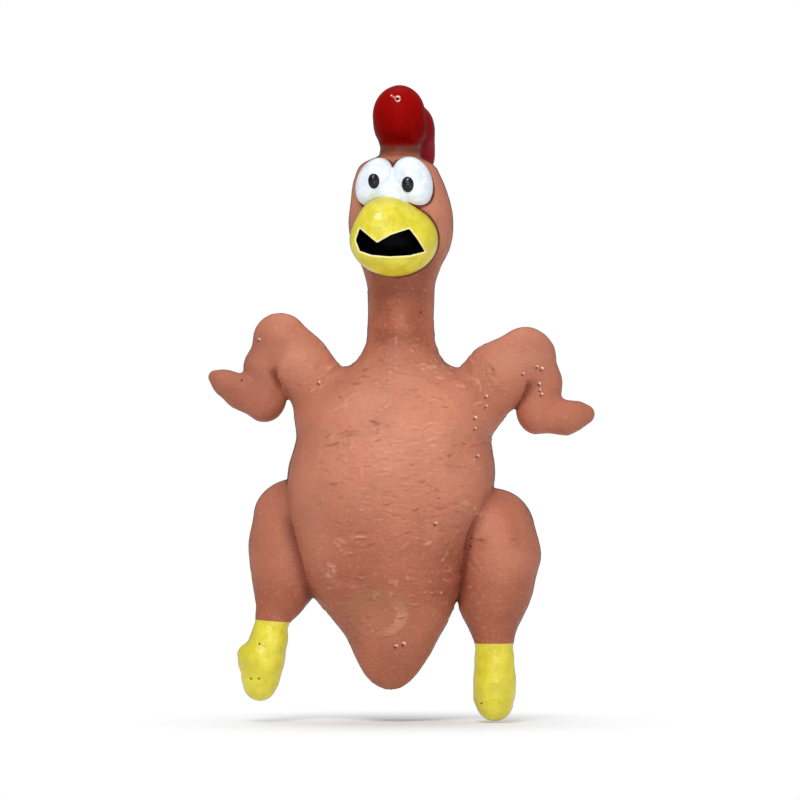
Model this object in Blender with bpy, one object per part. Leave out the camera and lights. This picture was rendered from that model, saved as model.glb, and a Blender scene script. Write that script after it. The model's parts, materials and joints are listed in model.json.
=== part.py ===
"""Rubber chicken: a hollow squeeze toy with a squeaker, built from separate solids.

Frame: metres, +Z up, the chicken's front faces -Y, its own left wing is at +X.
The origin is under the middle of the toy, at the level of its lowest foot.
Dimensions are written in millimetres and turned into metres by MM or mm().
"""

import math

import bmesh
import bpy
from mathutils import Matrix, Vector

MM = 0.001


def mm(*values):
    """A point given in millimetres, in metres."""
    return Vector(values) * MM


# Clearances, walls and roundness

GAP = 0.3 * MM  # clearance between neighbouring solids
SOCKET_GAP = 0.4 * MM  # clearance of a joint's ball in its socket
SKIN = 2.0 * MM  # wall of the hollow body
BACK_Y = 21.0 * MM  # flat patch the toy lies on
FRONT = -40.0 * MM  # a depth in front of everything
BEHIND = 40.0 * MM  # a depth behind everything
ROUND_STEPS = 16  # points around a limb
HEAD_STEPS = 20  # points around the head
BODY_STEPS = 24  # points around the body
PANEL_STEPS = 20  # points around the belly panel
TORSO_Y = 1.0  # mm, the body sits a little behind the neck

# Neck joints, from the foot of the neck up: height and radius
NECK_X = 0.0
NECK_FOOT = (92.0 * MM, 9.6 * MM)
NECK_MIDDLE = (102.0 * MM, 8.5 * MM)
NECK_TOP = (112.0 * MM, 8.8 * MM)
NECK_BORE = 5.0 * MM
NECK_HOLE = (76.0 * MM, 90.0 * MM)  # heights of the air hole between the body and the neck
SOCKET_DEPTH = 0.42  # how far a socket's rim sits from the pivot, as a share of its radius

# Tail joint
TAIL_PIVOT = Vector((-2.3, 0.0, 15.6)) * MM
TAIL_RADII = Vector((8.6, 5.4, 5.4)) * MM
TAIL_SIDE_ROOM = 4.0 * MM  # the tail's socket runs out through the body's sides
TAIL_END_Z = 7.4 * MM
TAIL_LEAN = 0.4 * MM  # how far the tail's tip sits towards -X
TAIL_FULLNESS = 1.7  # the higher, the blunter the tail

# Belly panel, a round patch that is pushed in along +Y
PANEL_CENTRE = Vector((-3.0, 0.0, 62.0)) * MM
PANEL_RADIUS = 12.0 * MM
PANEL_REACH = (-30.0 * MM, -8.0 * MM)  # depths the panel's disc is cut between
PANEL_HOLE_END_Y = -5.0 * MM

# Plug and squeaker, on an axis along Y
PLUG_CENTRE = Vector((-5.6, 0.0, 27.0)) * MM
PLUG_RADIUS = 5.5 * MM
PLUG_FRONT_Y = -10.4 * MM
PLUG_THICK = 2.0 * MM
PLUG_HOLE_END_Y = -1.8 * MM
AIR_HOLE_RADIUS = 0.6 * MM
CUP_FRONT_Y = PLUG_FRONT_Y + 2.3 * MM
CUP_BACK_Y = CUP_FRONT_Y + 6.0 * MM
CUP_RADIUS = 4.6 * MM
CUP_WALL = 0.8 * MM
CUP_HOLE_RADIUS = 1.0 * MM
CAP_FRONT_Y = CUP_FRONT_Y + 0.6 * MM
CAP_THICK = 1.0 * MM
SLOT_HALF_WIDTH = 0.6 * MM
SLOT_BELOW, SLOT_ABOVE = 2.0 * MM, 1.6 * MM
REED_Y = CAP_FRONT_Y + 1.3 * MM
REED_THICK = 0.25 * MM
REED_HALF_WIDTH = 0.9 * MM
REED_BELOW, REED_ABOVE = 2.6 * MM, 2.4 * MM
CLIP_HALF_WIDTH = 1.8 * MM
CLIP_THICK = 1.2 * MM
CLIP_HEIGHTS = (1.2 * MM, 2.6 * MM)  # over the plug's axis

# Head
HEAD_YAW = math.radians(-15.0)  # the face looks a little towards -X
HEAD_HOLLOW = (mm(0.0, 0.0, 126.5), mm(9.6, 10.2, 11.6))  # centre and radii
HEAD_BORE = (100.0 * MM, 120.0 * MM)  # heights of the air hole from the neck

# Comb: a front lobe with a hinge bar along Y, and a rear lobe; centre and radii
COMB_PIVOT = mm(-0.6, 1.5, 142.0)
COMB_BAR_RADIUS = 3.0 * MM
COMB_BAR_REACH = (-6.5 * MM, 3.0 * MM)
COMB_GROOVE_REACH = (-9.0 * MM, 12.0 * MM)
COMB_FRONT = (mm(-0.6, -2.0, 151.0), mm(6.5, 7.2, 7.9))
COMB_REAR = (mm(2.2, 6.2, 149.0), mm(6.2, 6.4, 7.0))

# Eyes and pupils: centre and radii
EYE_LEFT = (mm(-6.9, -10.6, 134.6), mm(4.5, 4.6, 5.7))
EYE_RIGHT = (mm(2.7, -10.8, 133.6), mm(5.0, 4.8, 5.4))
PUPIL_LEFT = (mm(-7.2, -14.9, 134.4), mm(1.5, 1.3, 1.95))
PUPIL_RIGHT = (mm(1.6, -15.4, 133.5), mm(1.65, 1.3, 1.95))

# Beak halves: centre and radii; the mouth is the slot between two heights, in mm
BEAK_UPPER = (mm(-2.6, -10.4, 124.6), mm(10.8, 10.6, 7.0))
BEAK_LOWER = (mm(-1.9, -9.6, 117.8), mm(10.6, 9.8, 6.9))
MOUTH_TOP = 120.6
MOUTH_FLOOR = 116.8
LINING_CENTRE = (-2.2, -9.8)  # mm
LINING_RADII = (9.2, 7.4)  # mm
LINING_ROOM = 0.3  # mm, over and under the lining

# The body as seen from the front: height, middle x, half width, half depth, all in mm
TORSO_STATIONS = (
    (17.0, -2.3, 9.2, 6.2),
    (22.0, -2.9, 12.2, 8.4),
    (28.0, -4.2, 15.8, 11.0),
    (36.0, -4.9, 18.8, 14.4),
    (46.0, -4.2, 21.6, 18.4),
    (57.0, -2.9, 24.8, 21.6),
    (64.0, -2.4, 25.0, 22.0),
    (71.0, -2.0, 23.6, 21.0),
    (79.0, -0.8, 22.0, 17.6),
    (84.0, 0.0, 19.0, 14.6),
    (88.0, 0.0, 14.2, 12.0),
)
TORSO_BOTTOM = 18.0  # mm, the rim over the tail
TORSO_TOP = 88.0  # mm, the rim under the neck
CAVITY_BOTTOM = 24.6  # mm
CAVITY_TOP = 83.0  # mm

HEAD_STATIONS = (
    (112.0, 0.0, 8.8, 8.8),
    (117.0, 0.0, 10.8, 11.4),
    (123.0, 0.0, 12.9, 13.6),
    (130.0, 0.0, 12.7, 13.4),
    (136.0, 0.0, 10.2, 10.8),
    (140.0, 0.0, 6.6, 7.0),
    (142.0, 0.0, 1.6, 1.7),
)

THIGH_LEFT_STATIONS = (
    (26.9, -31.6, 4.0, 4.4),
    (32.0, -31.0, 5.6, 6.6),
    (38.0, -31.2, 6.2, 9.0),
    (44.0, -31.5, 6.4, 10.6),
    (49.0, -31.3, 6.2, 11.0),
)
THIGH_RIGHT_STATIONS = (
    (21.6, 23.2, 4.2, 4.4),
    (28.0, 24.2, 5.6, 6.6),
    (35.0, 25.7, 7.2, 9.0),
    (42.0, 26.6, 7.7, 10.6),
    (47.0, 26.5, 7.4, 11.0),
)
HIP_BALL = 11.0 * MM
POCKET_REACH = 30.0 * MM  # how far the room for a thigh runs outwards
POCKET_BOTTOM = 15.0 * MM
POCKET_STEPS = 28
HIP_LEFT = {"pivot": mm(-31.3, 0.0, 49.0), "face_x": -24.6 * MM}
HIP_RIGHT = {"pivot": mm(26.5, 0.0, 47.0), "face_x": 18.2 * MM}
ANKLE_RADIUS = 4.2 * MM
ANKLE_LEFT = mm(-31.8, 0.0, 25.2)
ANKLE_RIGHT = mm(23.3, 0.0, 19.6)
ANKLE_SIDE_ROOM = 2.0 * MM

# Feet from the ankle down: height, x, y and radius, all in mm
FOOT_LEFT_PATH = (
    (25.2, -31.8, 0.0, 3.9),
    (20.0, -32.6, -0.3, 4.6),
    (14.0, -34.0, -1.0, 5.4),
    (9.0, -34.6, -0.6, 4.2),
)
FOOT_RIGHT_PATH = (
    (19.6, 23.3, 0.0, 4.0),
    (14.0, 23.1, -0.3, 4.5),
    (9.0, 23.2, -0.8, 4.8),
    (4.0, 23.0, -0.5, 3.9),
)
FOOT_LEFT_TOE = 4.3  # mm, how far the foot's end bulges below its last point
FOOT_RIGHT_TOE = 4.0  # mm

# Wings: places of the joints, and radii
WING_LEFT = {
    "shoulder": mm(-19.5, 0.0, 84.5),
    "elbow": mm(-30.9, 0.0, 95.2),
    "wrist": mm(-34.2, 0.0, 80.0),
    "tip": mm(-46.4, 0.0, 85.2),
    "radius": 6.6 * MM,
    "tip_radius": 1.7 * MM,
}
WING_RIGHT = {
    "shoulder": mm(19.0, 0.0, 83.0),
    "elbow": mm(31.6, 0.0, 92.0),
    "wrist": mm(34.3, 0.0, 76.8),
    "tip": mm(46.2, 0.0, 76.4),
    "radius": 6.6 * MM,
    "tip_radius": 1.9 * MM,
}
WRIST_RADIUS = 5.1 * MM
FOREARM_RADIUS = 4.7 * MM
WING_DEPTH = 0.9
HAND_DEPTH = 0.8
ELBOW_RADIUS = 6.4 * MM
FOREARM_TOP_RADIUS = 6.35 * MM
FOREARM_SHORT = 2.0 * MM  # how far the forearm stops before the wrist
SHOULDER_DEPTH = 0.95  # the shoulder socket's depth, as a share of its radius
WRIST_ROOM_DEPTH = 1.1
HAND_ROOM_DEPTH = 0.12
HAND_SWINGS = (math.radians(-12.5), math.radians(12.5))


# Scene, materials and objects


def clear_scene():
    for old in list(bpy.data.objects):
        bpy.data.objects.remove(old, do_unlink=True)


def make_material(name, colour, roughness, metallic=0.0):
    mat = bpy.data.materials.new(name)
    mat.use_nodes = True
    shader = mat.node_tree.nodes["Principled BSDF"]
    shader.inputs["Base Color"].default_value = (*colour, 1.0)
    shader.inputs["Roughness"].default_value = roughness
    shader.inputs["Metallic"].default_value = metallic
    mat.diffuse_color = (*colour, 1.0)
    return mat


def skin_material():
    return make_material("skin_rubber", (0.53, 0.23, 0.14), 0.5)


def yellow_material():
    return make_material("yellow_rubber", (0.80, 0.70, 0.06), 0.35)


def red_material():
    return make_material("red_rubber", (0.45, 0.01, 0.01), 0.18)


def white_material():
    return make_material("eye_white", (0.86, 0.88, 0.92), 0.25)


def black_material():
    return make_material("black_gloss", (0.01, 0.01, 0.01), 0.15)


def plastic_material():
    return make_material("squeaker_plastic", (0.78, 0.78, 0.74), 0.4)


def make_object(name, bm, mat, origin=Vector((0.0, 0.0, 0.0)), smooth=True):
    """An object from world-space geometry, with its own origin at the given point."""
    bmesh.ops.recalc_face_normals(bm, faces=bm.faces)
    mesh = bpy.data.meshes.new(name)
    bm.to_mesh(mesh)
    bm.free()
    mesh.transform(Matrix.Translation(-origin))
    if smooth:
        mesh.shade_smooth()
        mesh.set_sharp_from_angle(angle=math.radians(40.0))
    obj = bpy.data.objects.new(name, mesh)
    obj.location = origin
    bpy.context.scene.collection.objects.link(obj)
    if mat is not None:
        mesh.materials.append(mat)
    return obj


def make_cutter(name, bm):
    cutter = make_object(name, bm, None, smooth=False)
    cutter.hide_render = True
    cutter.display_type = "WIRE"
    return cutter


def combine(obj, cutter, operation):
    mod = obj.modifiers.new(cutter.name, "BOOLEAN")
    mod.operation = operation
    mod.object = cutter
    return obj


def cut(obj, name, bm):
    return combine(obj, make_cutter(name, bm), "DIFFERENCE")


def join(obj, name, bm):
    return combine(obj, make_cutter(name, bm), "UNION")


# Shapes


def loft(rings):
    """A closed skin over rings of points, flat at both ends."""
    bm = bmesh.new()
    loops = [[bm.verts.new(point) for point in ring] for ring in rings]
    for low, high in zip(loops, loops[1:]):
        for i, vert in enumerate(low):
            after = (i + 1) % len(low)
            bm.faces.new((vert, low[after], high[after], high[i]))
    bm.faces.new(list(reversed(loops[0])))
    bm.faces.new(loops[-1])
    return bm


def flat_ring(centre, half_x, half_y, steps):
    """An ellipse of points at one height."""
    ring = []
    for i in range(steps):
        turn = 2.0 * math.pi * i / steps
        ring.append(centre + Vector((half_x * math.cos(turn), half_y * math.sin(turn), 0.0)))
    return ring


def station_at(stations, height):
    """Middle x, half width and half depth at a height, on a smooth curve through the stations."""
    last = len(stations) - 1
    k = 0
    while k < last - 1 and height > stations[k + 1][0]:
        k += 1
    rows = [stations[max(0, min(last, k + step))] for step in (-1, 0, 1, 2)]
    span = rows[2][0] - rows[1][0]
    t = min(1.0, max(0.0, (height - rows[1][0]) / span))
    values = []
    for col in (1, 2, 3):
        before, here, there, after = (row[col] for row in rows)
        slope_here = (there - before) * span / max(rows[2][0] - rows[0][0], span)
        slope_there = (after - here) * span / max(rows[3][0] - rows[1][0], span)
        value = (
            (2 * t**3 - 3 * t**2 + 1) * here
            + (t**3 - 2 * t**2 + t) * slope_here
            + (3 * t**2 - 2 * t**3) * there
            + (t**3 - t**2) * slope_there
        )
        values.append(value)
    return values


def station_rings(stations, low, high, count, steps, inset=0.0, middle_y=0.0):
    """Elliptical rings between two heights; inset (metres) shrinks them on every side."""
    rings = []
    for i in range(count):
        height = low + (high - low) * i / (count - 1)
        middle_x, half_x, half_y = station_at(stations, height)
        centre = mm(middle_x, middle_y, height)
        rings.append(flat_ring(centre, half_x * MM - inset, half_y * MM - inset, steps))
    return rings


def dome_rings(centre, radii, top, count, steps):
    """Rings of half an ellipsoid over (top=1) or under (top=-1) a centre, from rim to pole."""
    rings = []
    for i in range(1, count + 1):
        rise = 0.5 * math.pi * i / (count + 0.25)
        shrink = math.cos(rise)
        middle = centre + Vector((0.0, 0.0, top * radii.z * math.sin(rise)))
        rings.append(flat_ring(middle, radii.x * shrink, radii.y * shrink, steps))
    return rings


def ellipsoid(centre, radii, steps=ROUND_STEPS, turn=Matrix.Identity(3)):
    bm = bmesh.new()
    shape = turn.to_4x4() @ Matrix.Diagonal((*radii, 1.0))
    place = Matrix.Translation(centre) @ shape
    bmesh.ops.create_uvsphere(bm, u_segments=steps, v_segments=steps // 2, radius=1.0, matrix=place)
    return bm


def box(low, high):
    bm = bmesh.new()
    place = Matrix.Translation((low + high) / 2.0) @ Matrix.Diagonal((*(high - low), 1.0))
    bmesh.ops.create_cube(bm, size=1.0, matrix=place)
    return bm


def rod(centre, radius, start, end, axis="Y", steps=ROUND_STEPS):
    """A round bar along Y or X between two coordinates on that axis."""
    bm = bmesh.new()
    turn = Matrix.Rotation(math.pi / 2.0, 4, "X" if axis == "Y" else "Y")
    along = Vector((0.0, 1.0, 0.0)) if axis == "Y" else Vector((1.0, 0.0, 0.0))
    middle = centre - along * centre.dot(along) + along * (start + end) / 2.0
    bmesh.ops.create_cone(
        bm,
        cap_ends=True,
        segments=steps,
        radius1=radius,
        radius2=radius,
        depth=abs(end - start),
        matrix=Matrix.Translation(middle) @ turn,
    )
    return bm


def turned(profile, centre, steps=ROUND_STEPS):
    """A ring-shaped solid turned about a vertical axis from a closed (radius, height) profile."""
    bm = bmesh.new()
    loops = []
    for i in range(steps):
        angle = 2.0 * math.pi * i / steps
        way = Vector((math.cos(angle), math.sin(angle), 0.0))
        loops.append([bm.verts.new(centre + way * r + Vector((0.0, 0.0, z))) for r, z in profile])
    for i, loop in enumerate(loops):
        beside = loops[(i + 1) % steps]
        for k, vert in enumerate(loop):
            after = (k + 1) % len(loop)
            bm.faces.new((vert, beside[k], beside[after], loop[after]))
    return bm


def tapered_capsule(start, start_radius, end, end_radius, flatten, steps=ROUND_STEPS, arc_steps=4):
    """Two balls and the cone that touches both; flatten scales its depth along Y."""
    axis = end - start
    length = axis.length
    along = axis / length
    side = along.cross(Vector((0.0, 1.0, 0.0))).normalized()
    lean = math.asin((start_radius - end_radius) / length)
    rings = []
    for i in range(2 * arc_steps + 2):
        if i <= arc_steps:
            turn = math.pi - (math.pi / 2.0 + lean) * i / arc_steps
            turn = min(turn, math.pi - 0.12)
            reach, radius = start_radius * math.cos(turn), start_radius * math.sin(turn)
        else:
            turn = (math.pi / 2.0 - lean) * (1.0 - (i - arc_steps - 1) / arc_steps)
            turn = max(turn, 0.12)
            reach, radius = length + end_radius * math.cos(turn), end_radius * math.sin(turn)
        ring = []
        for k in range(steps):
            angle = 2.0 * math.pi * k / steps
            out = side * math.cos(angle) * radius
            deep = Vector((0.0, math.sin(angle) * radius * flatten, 0.0))
            ring.append(start + along * reach + out + deep)
        rings.append(ring)
    return loft(rings)


# Neck


def neck_profile(foot, top):
    """A bored tube with a ball at its foot and a socket in its top, as (radius, height) points."""
    foot_z, foot_radius = foot
    top_z, top_radius = top
    socket = top_radius + SOCKET_GAP
    rim_drop = SOCKET_DEPTH * top_radius
    bore_angle = math.asin(NECK_BORE / foot_radius)
    points = []
    arc_steps = 5
    for i in range(arc_steps + 1):
        angle = bore_angle + (math.pi / 2.0 - bore_angle) * i / arc_steps
        points.append((foot_radius * math.sin(angle), foot_z - foot_radius * math.cos(angle)))
    points.append((top_radius, top_z - rim_drop))
    rim_angle = math.acos(rim_drop / socket)
    socket_bore_angle = math.asin(NECK_BORE / socket)
    for i in range(arc_steps + 1):
        angle = rim_angle + (socket_bore_angle - rim_angle) * i / arc_steps
        points.append((socket * math.sin(angle), top_z - socket * math.cos(angle)))
    return points


def make_neck(name, foot, top, mat):
    bm = turned(neck_profile(foot, top), Vector((NECK_X, 0.0, 0.0)))
    return make_object(name, bm, mat, Vector((NECK_X, 0.0, foot[0])))


# Body


def torso_outside(inset=0.0):
    rings = station_rings(TORSO_STATIONS, TORSO_BOTTOM, TORSO_TOP, 17, BODY_STEPS, inset, TORSO_Y)
    return loft(rings)


def torso_hollow():
    rings = station_rings(TORSO_STATIONS, CAVITY_BOTTOM, CAVITY_TOP, 11, BODY_STEPS - 4, SKIN, TORSO_Y)
    return loft(rings)


def hip_pocket(name, side, face_x, pivot_z):
    """The room a thigh swings in: everything beyond a flat face at the hip."""
    far = face_x + side * POCKET_REACH
    middle = Vector((0.0, 0.0, pivot_z))
    pocket = rod(middle, HIP_BALL + SOCKET_GAP, face_x, far, axis="X", steps=POCKET_STEPS)
    low = Vector((min(face_x, far), -HIP_BALL - SOCKET_GAP, POCKET_BOTTOM))
    high = Vector((max(face_x, far), HIP_BALL + SOCKET_GAP, pivot_z))
    return (f"{name}_round", pocket), (f"{name}_below", box(low, high))


def make_torso(mat):
    torso = make_object("torso_skin", torso_outside(), mat)
    neck_z, neck_radius = NECK_FOOT
    neck_ball = Vector((NECK_X, 0.0, neck_z))
    ball = Vector((1.0, 1.0, 1.0)) * (neck_radius + SOCKET_GAP)
    cut(torso, "neck_socket", ellipsoid(neck_ball, ball))
    cut(torso, "hollow", torso_hollow())
    cut(torso, "neck_hole", turned_bar(neck_ball, NECK_BORE, *NECK_HOLE))
    tail_room = Vector((TAIL_SIDE_ROOM, SOCKET_GAP, SOCKET_GAP))
    cut(torso, "tail_socket", ellipsoid(TAIL_PIVOT, TAIL_RADII + tail_room))
    for side, wing in (("left", WING_LEFT), ("right", WING_RIGHT)):
        ball = Vector((1.0, SHOULDER_DEPTH, 1.0)) * (wing["radius"] + SOCKET_GAP)
        cut(torso, f"shoulder_socket_{side}", ellipsoid(wing["shoulder"], ball))
    for name, bm in hip_pocket("hip_left", -1.0, HIP_LEFT["face_x"], HIP_LEFT["pivot"].z):
        cut(torso, name, bm)
    for name, bm in hip_pocket("hip_right", 1.0, HIP_RIGHT["face_x"], HIP_RIGHT["pivot"].z):
        cut(torso, name, bm)
    panel_hole = rod(PANEL_CENTRE, PANEL_RADIUS + GAP, FRONT, PANEL_HOLE_END_Y, steps=PANEL_STEPS)
    cut(torso, "panel_hole", panel_hole)
    cut(torso, "plug_hole", rod(PLUG_CENTRE, PLUG_RADIUS + GAP, FRONT, PLUG_HOLE_END_Y))
    behind_low = Vector((-BEHIND, BACK_Y, TORSO_BOTTOM * MM - BEHIND))
    behind_high = Vector((BEHIND, BEHIND, TORSO_TOP * MM + BEHIND))
    cut(torso, "back_flat", box(behind_low, behind_high))
    return torso


def turned_bar(centre, radius, low, high):
    """A round upright bar between two heights."""
    bm = bmesh.new()
    middle = Vector((centre.x, centre.y, (low + high) / 2.0))
    bmesh.ops.create_cone(
        bm,
        cap_ends=True,
        segments=ROUND_STEPS,
        radius1=radius,
        radius2=radius,
        depth=high - low,
        matrix=Matrix.Translation(middle),
    )
    return bm


def make_belly_panel(mat):
    """The disc of belly skin inside the panel hole, with the belly's own curve."""
    panel = make_object("belly_panel", torso_outside(), mat)
    cut(panel, "panel_hollow", torso_outside(SKIN))
    disc = rod(PANEL_CENTRE, PANEL_RADIUS, *PANEL_REACH, steps=PANEL_STEPS)
    return combine(panel, make_cutter("panel_disc", disc), "INTERSECT")


def make_tail(mat):
    centre = TAIL_PIVOT
    rings = list(reversed(dome_rings(centre, TAIL_RADII, 1.0, 5, ROUND_STEPS)))
    rings.append(flat_ring(centre, TAIL_RADII.x, TAIL_RADII.y, ROUND_STEPS))
    length = centre.z - TAIL_END_Z
    steps = 7
    for i in range(1, steps + 1):
        t = i / (steps + 0.15)
        shrink = math.sqrt(max(0.0, 1.0 - t**TAIL_FULLNESS))
        middle = centre - Vector((TAIL_LEAN * t, 0.0, length * t))
        rings.append(flat_ring(middle, TAIL_RADII.x * shrink, TAIL_RADII.y * shrink, ROUND_STEPS))
    return make_object("tail_skin", loft(rings), mat, centre)


# Wings


def make_wing(name, wing, mat):
    """Upper wing and folded forearm in one piece, open below for the hand."""
    shoulder, elbow, wrist = wing["shoulder"], wing["elbow"], wing["wrist"]
    upper = tapered_capsule(shoulder, wing["radius"], elbow, ELBOW_RADIUS, WING_DEPTH)
    obj = make_object(name, upper, mat, shoulder)
    forearm_end = wrist - (wrist - elbow).normalized() * FOREARM_SHORT
    fore = tapered_capsule(elbow, FOREARM_TOP_RADIUS, forearm_end, FOREARM_RADIUS, WING_DEPTH)
    join(obj, f"{name}_forearm", fore)
    room = WRIST_RADIUS + SOCKET_GAP
    ball = Vector((1.0, WRIST_ROOM_DEPTH, 1.0)) * room
    cut(obj, f"{name}_wrist_room", ellipsoid(wrist, ball, ROUND_STEPS + 2))
    for k, swing in enumerate(HAND_SWINGS):
        cut(obj, f"{name}_hand_room_{k}", hand_shape(wing, swing, SOCKET_GAP))
    return obj


def hand_shape(wing, swing=0.0, grow=0.0):
    bm = tapered_capsule(
        wing["wrist"],
        WRIST_RADIUS + grow,
        wing["tip"],
        wing["tip_radius"] + grow,
        HAND_DEPTH + (HAND_ROOM_DEPTH if grow else 0.0),
        steps=ROUND_STEPS + (3 if grow else 0),
        arc_steps=4,
    )
    turn = Matrix.Rotation(swing, 4, "Y")
    at_wrist = Matrix.Translation(wing["wrist"])
    bmesh.ops.transform(bm, matrix=at_wrist @ turn @ at_wrist.inverted(), verts=bm.verts)
    return bm


def make_hand(name, wing, mat):
    return make_object(name, hand_shape(wing), mat, wing["wrist"])


# Legs


def make_thigh(name, stations, hip, ankle, mat):
    """A drumstick: a round top about the hip axis, tapering to a socket for the foot."""
    top = stations[-1]
    bottom = stations[0]
    rings = station_rings(stations, bottom[0], top[0], 9, ROUND_STEPS)
    centre = mm(top[1], 0.0, top[0])
    rings += dome_rings(centre, Vector((top[2] * MM, HIP_BALL, HIP_BALL)), 1.0, 5, ROUND_STEPS)
    obj = make_object(name, loft(rings), mat, hip["pivot"])
    room = ANKLE_RADIUS + SOCKET_GAP
    cut(obj, f"{name}_ankle_room", ellipsoid(ankle, Vector((room + ANKLE_SIDE_ROOM, room, room))))
    return obj


def make_foot(name, path, toe_drop, ankle, mat):
    """A stubby foot that hangs from its ankle ball."""
    ball = Vector((path[0][3] * MM, ANKLE_RADIUS, ANKLE_RADIUS))
    rings = list(reversed(dome_rings(ankle, ball, 1.0, 5, ROUND_STEPS)))
    rings.append(flat_ring(ankle, ball.x, ball.y, ROUND_STEPS))
    for height, x, y, radius in path[1:]:
        rings.append(flat_ring(mm(x, y, height), radius * MM, radius * MM, ROUND_STEPS))
    height, x, y, radius = path[-1]
    toe = mm(radius, radius, toe_drop)
    rings += dome_rings(mm(x, y, height), toe, -1.0, 4, ROUND_STEPS)
    return make_object(name, loft(rings), mat, ankle)


# Head


def head_turn():
    return Matrix.Rotation(HEAD_YAW, 3, "Z")


def head_outside(grow=0.0):
    """The head from the ball in the neck to its crown."""
    centre = Vector((NECK_X, 0.0, NECK_TOP[0]))
    ball = Vector((1.0, 1.0, 1.0)) * (NECK_TOP[1] + grow)
    rings = list(reversed(dome_rings(centre, ball, -1.0, 5, HEAD_STEPS)))
    low, high = HEAD_STATIONS[0][0], HEAD_STATIONS[-1][0]
    rings += station_rings(HEAD_STATIONS, low, high, 12, HEAD_STEPS, -grow)
    return loft(rings)


def make_head(mat):
    origin = Vector((NECK_X, 0.0, NECK_TOP[0]))
    head = make_object("head_skin", head_outside(), mat, origin)
    cut(head, "head_hollow", ellipsoid(*HEAD_HOLLOW))
    cut(head, "head_bore", turned_bar(origin, NECK_BORE, *HEAD_BORE))
    return cut(head, "comb_groove", rod(COMB_PIVOT, COMB_BAR_RADIUS + SOCKET_GAP, *COMB_GROOVE_REACH))


def comb_lobe(centre, radii, grow=0.0):
    return ellipsoid(centre, radii + Vector((grow, grow, grow)), turn=head_turn())


def make_comb_front(mat):
    obj = make_object("comb_front_lobe", comb_lobe(*COMB_FRONT), mat, COMB_PIVOT)
    return join(obj, "comb_bar", rod(COMB_PIVOT, COMB_BAR_RADIUS, *COMB_BAR_REACH))


def make_comb_rear(mat):
    obj = make_object("comb_rear_lobe", comb_lobe(*COMB_REAR), mat, COMB_PIVOT)
    cut(obj, "comb_bar_room", rod(COMB_PIVOT, COMB_BAR_RADIUS + GAP, FRONT, BEHIND))
    return cut(obj, "comb_front_room", comb_lobe(*COMB_FRONT, grow=GAP))


def make_eye(name, eye, mat, other=None):
    """A bulging eye seated on the head, trimmed where the other eye is in the way."""
    centre, radii = eye
    obj = make_object(name, ellipsoid(centre, radii), mat, centre)
    cut(obj, f"{name}_seat", head_outside(GAP))
    if other is not None:
        other_centre, other_radii = other
        room = Vector((GAP, GAP, GAP))
        cut(obj, f"{name}_neighbour", ellipsoid(other_centre, other_radii + room))
    return obj


def make_pupil(name, pupil, eye, mat):
    centre, radii = pupil
    obj = make_object(name, ellipsoid(centre, radii), mat, centre)
    eye_centre, eye_radii = eye
    return cut(obj, f"{name}_seat", ellipsoid(eye_centre, eye_radii + Vector((1.0, 1.0, 1.0)) * GAP))


def trim_to_face(obj, name):
    """Cuts away what would lie inside the head or the eyes."""
    cut(obj, f"{name}_head_room", head_outside(GAP))
    for side, (centre, radii) in (("left", EYE_LEFT), ("right", EYE_RIGHT)):
        room = Vector((GAP, GAP, GAP))
        cut(obj, f"{name}_eye_room_{side}", ellipsoid(centre, radii + room))
    return obj


def make_beak_upper(mat):
    centre, radii = BEAK_UPPER
    obj = make_object("beak_upper", ellipsoid(centre, radii, turn=head_turn()), mat, centre)
    cut(obj, "beak_upper_mouth", box(mm(-30, -40, 100), mm(30, 10, MOUTH_TOP)))
    return trim_to_face(obj, "beak_upper")


def make_beak_lower(mat):
    centre, radii = BEAK_LOWER
    obj = make_object("beak_lower", ellipsoid(centre, radii, turn=head_turn()), mat, centre)
    cut(obj, "beak_lower_mouth", box(mm(-30, -40, MOUTH_FLOOR), mm(30, 10, 140)))
    return trim_to_face(obj, "beak_lower")


def make_mouth_lining(mat):
    middle = (MOUTH_TOP + MOUTH_FLOOR) / 2.0
    half = (MOUTH_TOP - MOUTH_FLOOR) / 2.0 - LINING_ROOM
    disc = ellipsoid(mm(*LINING_CENTRE, middle), mm(*LINING_RADII, half), turn=head_turn())
    lining = make_object("mouth_lining", disc, mat)
    return cut(lining, "mouth_lining_head_room", head_outside(GAP))


# Plug and squeaker


def make_plug(mat):
    """The round plug in the lower belly, with its air hole."""
    bm = rod(PLUG_CENTRE, PLUG_RADIUS, PLUG_FRONT_Y, PLUG_FRONT_Y + PLUG_THICK)
    plug = make_object("belly_plug", bm, mat, PLUG_CENTRE)
    return cut(plug, "plug_air_hole", rod(PLUG_CENTRE, AIR_HOLE_RADIUS, FRONT, 0.0, steps=12))


def make_squeaker_cup(mat):
    """A cup that opens to the front, with a hole in its back for the air."""
    cup = make_object("squeaker_cup", rod(PLUG_CENTRE, CUP_RADIUS, CUP_FRONT_Y, CUP_BACK_Y), mat)
    inside = rod(PLUG_CENTRE, CUP_RADIUS - CUP_WALL, CUP_FRONT_Y - MM, CUP_BACK_Y - CUP_WALL)
    cut(cup, "cup_inside", inside)
    return cut(cup, "cup_hole", rod(PLUG_CENTRE, CUP_HOLE_RADIUS, FRONT, BEHIND))


def make_squeaker_cap(mat):
    """The disc in the cup's mouth, with a slot that lets the reed sound."""
    radius = CUP_RADIUS - CUP_WALL - GAP
    cap = make_object("squeaker_cap", rod(PLUG_CENTRE, radius, CAP_FRONT_Y, CAP_FRONT_Y + CAP_THICK), mat)
    slot_low = Vector((PLUG_CENTRE.x - SLOT_HALF_WIDTH, FRONT, PLUG_CENTRE.z - SLOT_BELOW))
    slot_high = Vector((PLUG_CENTRE.x + SLOT_HALF_WIDTH, 0.0, PLUG_CENTRE.z + SLOT_ABOVE))
    return cut(cap, "cap_slot", box(slot_low, slot_high))


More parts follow.
